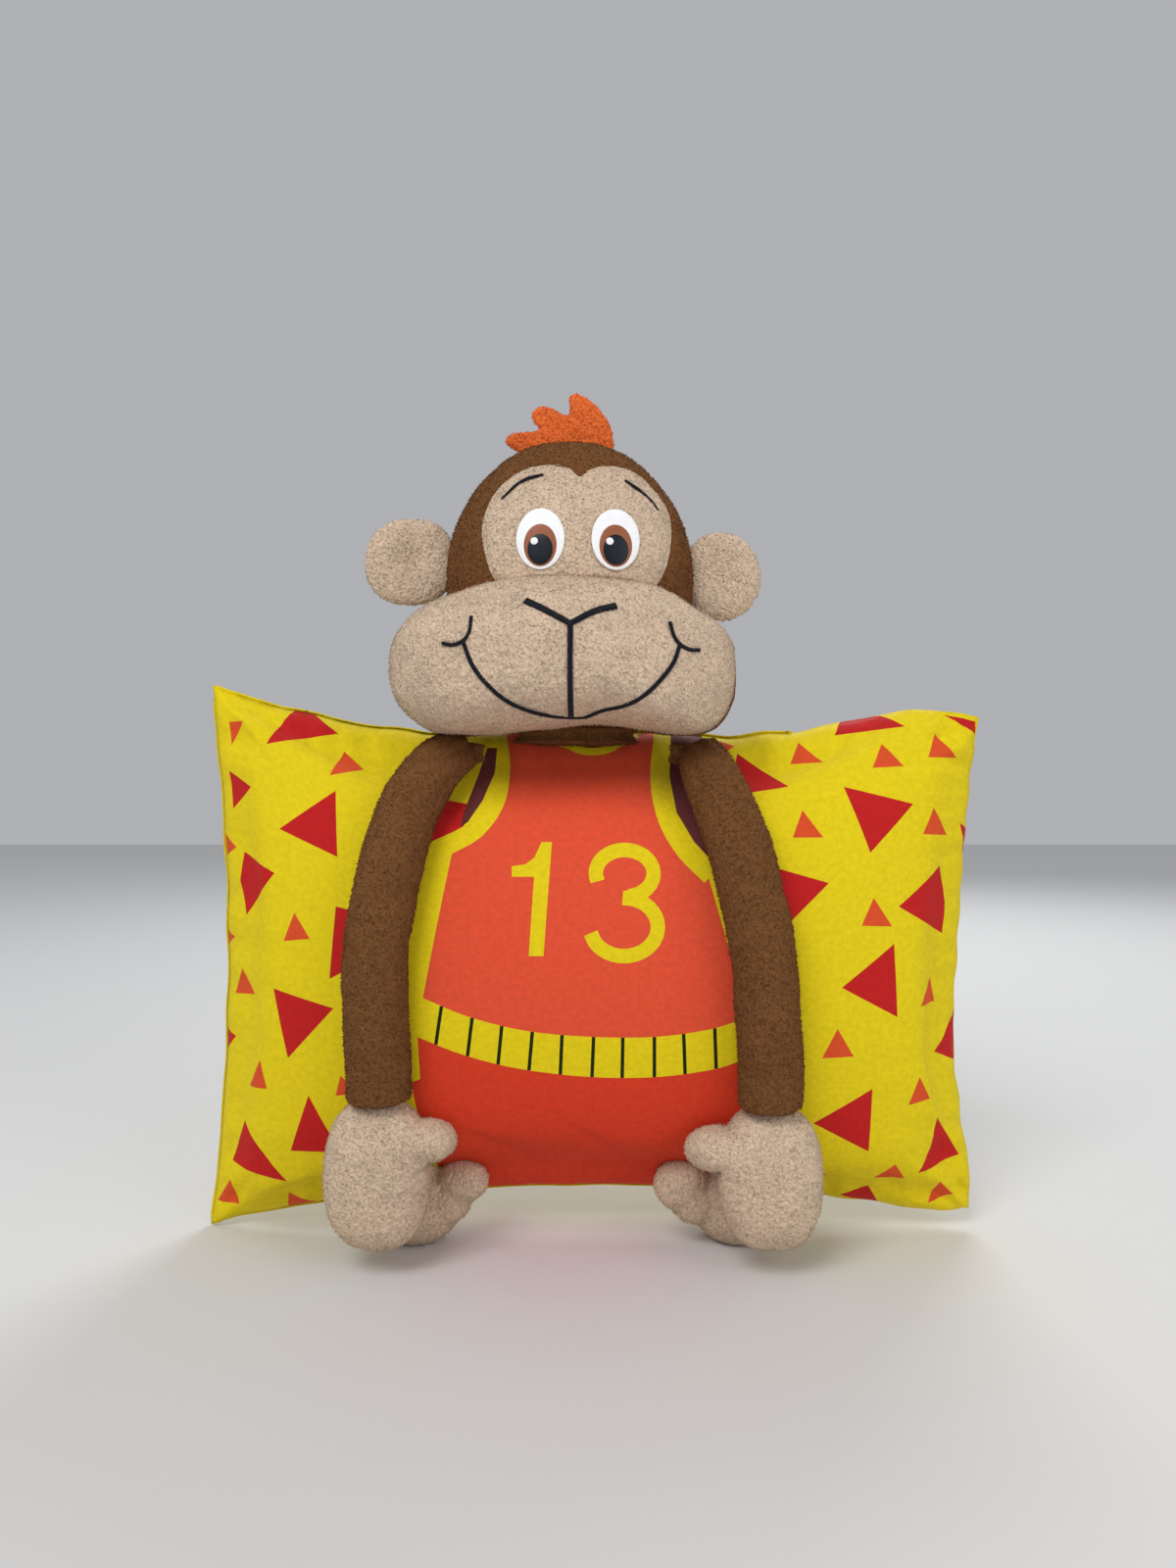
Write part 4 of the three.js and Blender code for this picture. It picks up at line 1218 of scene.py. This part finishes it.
stitched_parts = [
    ("brow_thread_right", skull_y, ["brow_right"], [
        [(-48, 392.5, 1.0), (-40, 400, 1.6), (-34, 403, 2.0), (-27, 404.5, 1.2)],
    ]),
    ("brow_thread_left", skull_y, ["brow_left"], [
        [(15, 402.5, 1.2), (22, 398, 2.0), (28, 393, 1.6), (32, 388, 1.0)],
    ]),
    ("nose_thread", muzzle_y, ["nose_stitching"], [
        [(-34, 334.5, 3.2), (-25, 330, 2.9), (-12.4, 323, 2.6)],
        [(9.5, 332, 3.2), (-1, 329, 2.9), (-12.4, 323, 2.6)],
    ]),
    ("philtrum_thread", muzzle_y, ["philtrum_stitching"], [
        [(-12.4, 323, 2.4), (-12.6, 302, 2.3), (-12.4, 280, 2.3)],
    ]),
    ("smile_thread", muzzle_y, ["smile_stitching"], [[
        (-64, 315.2, 1.8), (-59, 303, 1.9), (-51, 293, 2.0), (-42, 286, 2.0), (-32, 282, 2.0),
        (-22, 280, 2.0), (-12.4, 279.5, 2.1), (-5, 279.8, 2.0), (3, 282.5, 2.0), (15, 285, 2.0),
        (24, 290, 2.0), (32, 298, 2.0), (37, 305, 1.9), (40, 313, 1.8),
    ]]),
    ("cheek_thread_right", muzzle_y, ["cheek_stitching_right"], [
        [(-60, 327, 1.7), (-60.6, 320, 1.8), (-63.5, 315.3, 1.8), (-69, 313.3, 1.7), (-74, 314.3, 1.6)],
    ]),
    ("cheek_thread_left", muzzle_y, ["cheek_stitching_left"], [
        [(35.5, 324.5, 1.7), (37, 318.5, 1.8), (40, 314, 1.8), (45, 311.5, 1.7), (50, 311.5, 1.6)],
    ]),
]
for name, surface_y, stands_for, runs in stitched_parts:
    piece = stitched_line(name, runs, surface_y)
    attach(piece, "head")
    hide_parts(*stands_for)


# The back's opening has a row of running stitches along its turned hem, in yellow thread.

hem_thread = new_material("hem_thread", (0.8, 0.6, 0.02), 0.5)[0]
hem_tree = satin_tree("running_stitch", hem_thread)


def back_y(x, z):
    u, v = cloth_place(x, z, 1)
    return on_cover(u, v, 1)[..., 1] + 2.0 * MM


hem_inset = 9 * MM
hem_run = [((main_hem_x - hem_inset) / MM, z, 0.6) for z in range(14, 262, 8)]
hem = stitched_line("hem_stitches", [hem_run], back_y, hem_tree, 1, 3.4 * MM, 1.25 * MM)
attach(hem, "pillow")


# ---- Ears and tuft ----
# Each ear is two layers of beige fleece seamed round the rim, lightly stuffed, and gathered where it
# is sewn into the head's side. The tuft is two layers of orange fleece cut into three fingers.

def stuffed_pair(name, centre, radii, seam_y, front, back, material, rings=30):
    """A closed form of a front and a back that share the seam round their edge. front and back give
    how far each stands off the seam plane for a point's share of the way to the seam."""
    flat, shares = disc(centre, radii, rings)
    front_y = seam_y - front(flat, shares)
    back_y = seam_y + back(flat, shares)
    points, faces = two_sided(flat, len(radii), rings, front_y, back_y)
    return mesh_object(name, ruffle(points, faces), tidy_faces(faces), material)


ear_shapes = {
    "right": ((-101, 368), (25, 24), 1.0),
    "left": ((69, 360), (21, 24), 0.6),
}
for side, (middle, halves, cup) in ear_shapes.items():
    low, high = (np.array(corner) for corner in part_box(f"ear_front_{side}"))
    seam = high[1]
    half_thick = seam - low[1]
    centre = np.array(middle) * MM
    radii = superellipse_radii(halves[0] * MM, halves[1] * MM, 2.15, 168)
    way = -1 if side == "right" else 1

    def ear_front(flat, share, centre=centre, cup=cup, way=way, half_thick=half_thick):
        rim = half_thick * np.maximum(0, 1 - share**5) ** 0.5
        hollow = np.exp(-(((flat[:, 0] - centre[0]) * way + 4 * MM) ** 2 / (9 * MM) ** 2))
        hollow *= np.exp(-((flat[:, 1] - centre[1]) ** 2 / (12 * MM) ** 2))
        return rim - cup * 3.6 * MM * hollow

    def ear_back(flat, share, half_thick=half_thick):
        return half_thick * np.maximum(0, 1 - share**4) ** 0.5

    ear = stuffed_pair(f"ear_fleece_{side}", centre, radii, seam, ear_front, ear_back, beige_fleece)
    fasten_fleece(ear, f"ear_{side}", "beige_fleece")
    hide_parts(f"ear_front_{side}", f"ear_back_{side}")

tuft_outline = [
    (9, 428), (9.5, 439), (7, 446), (2, 452), (-5, 458), (-11, 461), (-14.5, 458.5), (-14, 453), (-15.5, 449),
    (-22, 452), (-29, 454), (-34.5, 451), (-34, 445.5), (-31, 441), (-40, 439.5), (-47, 438), (-49, 434),
    (-45, 430), (-38, 427.5), (-30, 424), (0, 424),
]
tuft_centre = np.array([-7 * MM, 436 * MM])
tuft_seam_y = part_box("tuft_front")[1][1]


def tuft_swell(flat, share):
    return 2.9 * MM * np.maximum(0, 1 - share**7) ** 0.5


tuft_radii = closed_curve(tuft_outline, 300, tuft_centre)
tuft = stuffed_pair(
    "tuft_fleece", tuft_centre, tuft_radii, tuft_seam_y, tuft_swell, tuft_swell, orange_fleece, 24
)
fasten_fleece(tuft, "tuft", "orange_fleece")
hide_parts("tuft_front", "tuft_back")


# ---- Neck tab ----
# A fold of brown fleece sewn into the pillow's top seam and the underside of the head.

def tube_faces(steps, around):
    """Faces of a tube of rings closed at both ends, where the first and last points are the ends'
    middles. All have four corners, and the faces of an end have their last corner twice."""
    top = 1 + steps * around
    last = top + around
    faces = []
    for k in range(around):
        faces.append((0, 1 + (k + 1) % around, 1 + k, 1 + k))
    for k in range(around):
        faces.append((top + k, top + (k + 1) % around, last, last))
    for row in range(steps):
        for k in range(around):
            a = 1 + row * around + k
            b = 1 + row * around + (k + 1) % around
            faces.append((a, b, b + around, a + around))
    return np.array(faces, int)


def soft_loop(name, low, high, material, around=96, rows=24):
    """A short upright loop of fleece that fills a box, waisted in the middle."""
    centre = (low + high) / 2
    half = (high - low) / 2
    angle = even_angles(around)
    points = [np.array([centre[0], centre[1], low[2]])]
    for row in range(rows + 1):
        t = row / rows
        waist = 1 - 0.12 * math.sin(t * math.pi) ** 2
        from_end = min(t, 1 - t) * 6
        edge = 0.55 + 0.45 * math.sin(min(1, from_end) * math.pi / 2)
        for a in angle:
            fold = 1 + 0.03 * math.sin(7 * a + 2 * t)
            points.append(centre + np.array([
                half[0] * math.cos(a) * waist * edge * fold,
                half[1] * math.sin(a) * waist * edge * fold,
                (2 * t - 1) * half[2],
            ]))
    points.append(np.array([centre[0], centre[1], high[2]]))
    faces = tube_faces(rows, around)
    points = ruffle(np.array(points), faces, stuffing=0.2 * MM)
    return mesh_object(name, points, tidy_faces(faces), material)


neck_low, neck_high = (np.array(corner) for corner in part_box("neck_tab"))
neck_low += np.array([-8, -4, -1.5]) * MM
neck_high += np.array([14, 1, 4]) * MM
neck = soft_loop("neck_fleece", neck_low, neck_high, brown_fleece)
fasten_fleece(neck, "neck", "brown_fleece")
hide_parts("neck_tab")


# ---- Arms ----
# Each arm is one lightly stuffed tube of brown fleece. Its top is gathered flat and sewn on under
# the chin, it bows out over the pillow, and its foot is sewn to the hand.

arm_paths = {
    "right": [
        (-67, -20, 267), (-74, -27, 262.5), (-84, -35, 253), (-93, -42, 238), (-99, -47, 221),
        (-103.5, -51, 202), (-106.5, -53.5, 183), (-108.7, -55.3, 166), (-109.3, -55.5, 148),
        (-109.3, -54, 128), (-108.7, -51, 106), (-108.5, -48.9, 88.5),
    ],
    "left": [
        (52, -20, 267), (55, -27, 261), (58.5, -36, 252), (63, -43, 240), (68, -48, 226), (72.5, -52, 211),
        (76.5, -55, 193), (81, -57, 173), (83.5, -57.5, 153), (85, -56.5, 134), (86.5, -54, 113),
        (87, -51.2, 85.5),
    ],
}
sleeve_radius = 15.9 * MM
sleeve_around = 132
sleeve_steps = 190


def sleeve_mesh(path):
    line = rounded_line(path, 20) * MM
    lengths = np.concatenate([[0], np.cumsum(np.linalg.norm(np.diff(line, axis=0), axis=1))])
    total = lengths[-1]
    at = np.linspace(0, total, sleeve_steps + 1)
    centre = np.stack([np.interp(at, lengths, line[:, axis]) for axis in range(3)], -1)
    along = np.gradient(centre, axis=0)
    along /= np.linalg.norm(along, axis=1, keepdims=True)
    out = np.array([0.0, -1.0, 0.0])
    angle = even_angles(sleeve_around)
    rows = []
    for k in range(sleeve_steps + 1):
        wide = np.cross(along[k], out)
        wide /= np.linalg.norm(wide)
        deep = np.cross(wide, along[k])
        s = at[k]
        gather = math.exp(-s / (20 * MM))
        radius = sleeve_radius * (1 - 0.4 * gather)
        flat = 0.92 - 0.5 * gather
        edge = min(1, (s + 0.5 * MM) / (4 * MM), (total - s + 1.2 * MM) / (3 * MM))
        radius *= math.sin(max(0.25, edge) * math.pi / 2)
        pleat = 1 + 0.07 * gather * np.cos(9 * angle) + 0.012 * np.sin(3 * angle + s * 60)
        fold = 1 + 0.012 * math.sin(s * 190) * math.exp(-(((s - 0.5 * total) / (45 * MM)) ** 2))
        size = radius * pleat * fold
        rows.append(
            centre[k]
            + np.cos(angle)[:, None] * wide * size[:, None]
            + np.sin(angle)[:, None] * deep * (size * flat)[:, None]
        )
    points = np.concatenate([centre[:1]] + rows + [centre[-1:]])
    # the rings run clockwise down the arm, so the faces are turned to point outwards
    return points, tube_faces(sleeve_steps, sleeve_around)[:, ::-1]


joints = {joint["name"]: joint for joint in frame["joints"]}
elbow_length = 14 * MM
for side, path in arm_paths.items():
    points, faces = sleeve_mesh(path)
    points = ruffle(points, faces)
    sleeve = mesh_object(f"sleeve_fleece_{side}", points, tidy_faces(faces), brown_fleece)
    elbow = np.array(joints[f"elbow_bend_{side}"]["pos_m"])
    above = elbow + np.array([0, 0, elbow_length])
    below = elbow - np.array([0, 0, elbow_length])
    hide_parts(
        f"sleeve_upper_{side}", f"sleeve_lower_{side}", f"arm_fill_upper_{side}", f"arm_fill_lower_{side}",
    )

    def bend_at_elbow(cloth, side=side, above=tuple(above), below=tuple(below)):
        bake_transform(cloth)

    bend_at_elbow(sleeve)
    fleece_made.append((sleeve, "brown_fleece", bend_at_elbow))
    tab_low, tab_high = (np.array(corner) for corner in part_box(f"shoulder_tab_{side}"))
    tab = soft_loop(f"shoulder_fleece_{side}", tab_low, tab_high, brown_fleece)
    fasten_fleece(tab, f"shoulder_{side}", "brown_fleece")
    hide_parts(f"shoulder_tab_{side}")


# ---- Hands ----
# Beige fleece mittens, a front and a back seamed round the edge and stuffed, each with its thumb
# turned inwards.

hand_shapes = {
    "right": ((-110, 50.5), (26.3, 37.5), (-85, 67), (15, 10.5)),
    "left": ((87.5, 49.5), (25.8, 35.5), (61, 63.5), (16.5, 11)),
}
around_hand = 216


def ellipse_reach(angle, start, centre, halves, fullness):
    """How far a ray from start leaves a rounded form behind, at each angle."""
    reach = np.zeros(len(angle))
    for distance in np.linspace(0, 75 * MM, 900):
        x = start[0] + distance * np.cos(angle) - centre[0]
        z = start[1] + distance * np.sin(angle) - centre[1]
        within = np.abs(x / halves[0]) ** fullness + np.abs(z / halves[1]) ** fullness < 1
        reach[within] = distance
    return reach


def hand_mesh_parts(side):
    palm, palm_half, thumb, thumb_half = (np.array(values) * MM for values in hand_shapes[side])
    angle = even_angles(around_hand)
    reach = np.maximum(
        ellipse_reach(angle, palm, palm, palm_half, 2.6),
        ellipse_reach(angle, palm, thumb, thumb_half, 2.1),
    )
    softening = np.array([1, 2, 3, 2, 1]) / 9
    reach = sum(weight * np.roll(reach, k - 2) for k, weight in enumerate(softening))
    low, high = (np.array(corner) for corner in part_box(f"hand_front_{side}"))
    seam = high[1]
    depth = seam - low[1]

    def swell(flat, share):
        def dome(centre, halves, fullness, height):
            size = np.abs((flat[:, 0] - centre[0]) / halves[0]) ** fullness
            size = size + np.abs((flat[:, 1] - centre[1]) / halves[1]) ** fullness
            return height * np.maximum(0, 1 - size) ** (1 / fullness)

        palm_dome = dome(palm, palm_half, 2.5, depth)
        thumb_dome = dome(thumb, thumb_half, 2.1, depth * 0.62)
        joined = (palm_dome**4 + thumb_dome**4) ** 0.25
        return np.minimum(joined, depth * np.maximum(0, 1 - share**10) ** 0.5) * (share < 0.9999)

    return palm, reach, seam, swell


for side in ("right", "left"):
    palm, reach, seam, swell = hand_mesh_parts(side)
    hand = stuffed_pair(f"hand_fleece_{side}", palm, reach, seam, swell, swell, beige_fleece, 44)
    fasten_fleece(hand, f"hand_{side}", "beige_fleece")
    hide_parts(f"hand_fill_{side}", f"hand_front_{side}", f"hand_back_{side}")


# ---- Feet ----
# Beige fleece, flat-soled and tucked under the pillow's lower seam, with the big toe turned inwards.

foot_shapes = {
    "right": [((-97, 0, 22), (26, 26, 24)), ((-71, -11, 35), (14, 12, 11)), ((-80, -6, 24), (14, 16, 13))],
    "left": [((77, 0, 22), (26, 26, 24)), ((46, -11, 33), (15, 12, 14)), ((54, -6, 24), (15, 16, 13))],
}


def rounded_ball(centre, halves, rows=28, around=48):
    points, faces = [], []
    for j in range(rows + 1):
        polar = math.pi * j / rows
        for k in range(around):
            turn = 2 * math.pi * k / around
            unit = (math.sin(polar) * math.cos(turn), math.sin(polar) * math.sin(turn), math.cos(polar))
            points.append(tuple((centre[axis] + halves[axis] * unit[axis]) * MM for axis in range(3)))
    for j in range(rows):
        for k in range(around):
            a, b = j * around + k, j * around + (k + 1) % around
            faces.append((a, a + around, b + around, b))
    return points, faces


for side, balls in foot_shapes.items():
    points, faces = [], []
    for centre, halves in balls:
        more, quads = rounded_ball(centre, halves)
        first = len(points)
        points += more
        faces += [tuple(corner + first for corner in quad) for quad in quads]
    blank = mesh_object(f"foot_blank_{side}", points, faces, beige_fleece)
    remesh = blank.modifiers.new("one_skin", "REMESH")
    remesh.mode = "VOXEL"
    remesh.voxel_size = 1.3 * MM
    smooth = blank.modifiers.new("soften", "SMOOTH")
    smooth.iterations = 6
    result = blank.evaluated_get(bpy.context.evaluated_depsgraph_get())
    mesh = bpy.data.meshes.new_from_object(result)
    bpy.data.objects.remove(blank)
    places = vertex_values(mesh).astype(float)
    places += vertex_values(mesh, "normal") * (0.3 * MM * lumps(places, 1.9 * MM))[:, None]
    places[:, 2] = np.maximum(places[:, 2], 0.1 * MM)
    mesh.vertices.foreach_set("co", places.astype(np.float32).ravel())
    mesh.update()
    mesh.shade_smooth()
    mesh.materials.clear()
    mesh.materials.append(beige_fleece)
    foot = bpy.data.objects.new(f"foot_fleece_{side}", mesh)
    bpy.context.collection.objects.link(foot)
    fasten_fleece(foot, f"foot_{side}", "beige_fleece")
    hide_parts(f"foot_fill_{side}", f"foot_front_{side}", f"foot_back_{side}")


# ---- Nap ----
# The fleece is brushed and then tumbled, so that tufts of fibre stand up all over it. They are short
# closed points that lean in all directions, and they soften every outline of the fleece.

def nap_tree(name, material):
    tree, given = node_group(
        name, "GeometryNodeTree",
        {"Geometry": "Geometry", "Tufts per square metre": "Float", "Tuft length": "Float", "Seed": "Int"},
        {"Geometry": "Geometry"},
    )
    seed = given["Seed"]
    thickly = {"Mesh": given["Geometry"], "Density": given["Tufts per square metre"], "Seed": seed}
    spread = node(tree, "GeometryNodeDistributePointsOnFaces", thickly).outputs
    cone = {"Vertices": 3, "Radius Top": 0.0, "Radius Bottom": 0.3, "Depth": 1.0}
    tuft = node(tree, "GeometryNodeMeshCone", cone).outputs["Mesh"]
    # inputs 0 and 1 are the ends of a random vector's range, and 2 and 3 those of a random number's
    lean = {0: (-0.9, -0.9, -3.1), 1: (0.9, 0.9, 3.1), "Seed": seed}
    leaning = node(tree, "FunctionNodeRandomValue", lean, data_type="FLOAT_VECTOR").outputs[0]
    turns = {"Rotation": spread["Rotation"], "Rotate By": leaning}
    turn = node(tree, "FunctionNodeRotateRotation", turns, rotation_space="LOCAL").outputs["Rotation"]
    long = node(tree, "FunctionNodeRandomValue", {2: 0.6, 3: 1.3, "Seed": seed}, data_type="FLOAT").outputs[1]
    size = maths(tree, "MULTIPLY", long, given["Tuft length"])
    return real_copies(tree, spread["Points"], tuft, turn, size, material)


tufts_per_square_metre = 450000
tuft_length = 1.0 * MM
nap_trees = {
    "brown_fleece": nap_tree("brown_nap", brown_fleece),
    "beige_fleece": nap_tree("beige_nap", beige_fleece),
    "orange_fleece": nap_tree("orange_nap", orange_fleece),
}
for index, (made, finish, place_it) in enumerate(fleece_made):
    skin = bpy.data.objects.new(made.name + "_nap", made.data.copy())
    bpy.context.collection.objects.link(skin)
    if made.name in walled:
        bare = bmesh.new()
        bare.from_mesh(skin.data)
        bare.faces.ensure_lookup_table()
        outer = walled[made.name]
        bmesh.ops.delete(bare, geom=[face for face in bare.faces if face.index >= outer], context="FACES")
        bare.to_mesh(skin.data)
        bare.free()
    pile = {"Tufts per square metre": tufts_per_square_metre, "Tuft length": tuft_length, "Seed": index}
    tufts = settled(skin, nap_trees[finish], pile)
    spots = vertex_values(tufts.data)
    # the tufts under the soles are pressed flat
    spots[:, 2] = np.maximum(spots[:, 2], 0.05 * MM)
    tufts.data.vertices.foreach_set("co", spots.ravel())
    place_it(tufts)
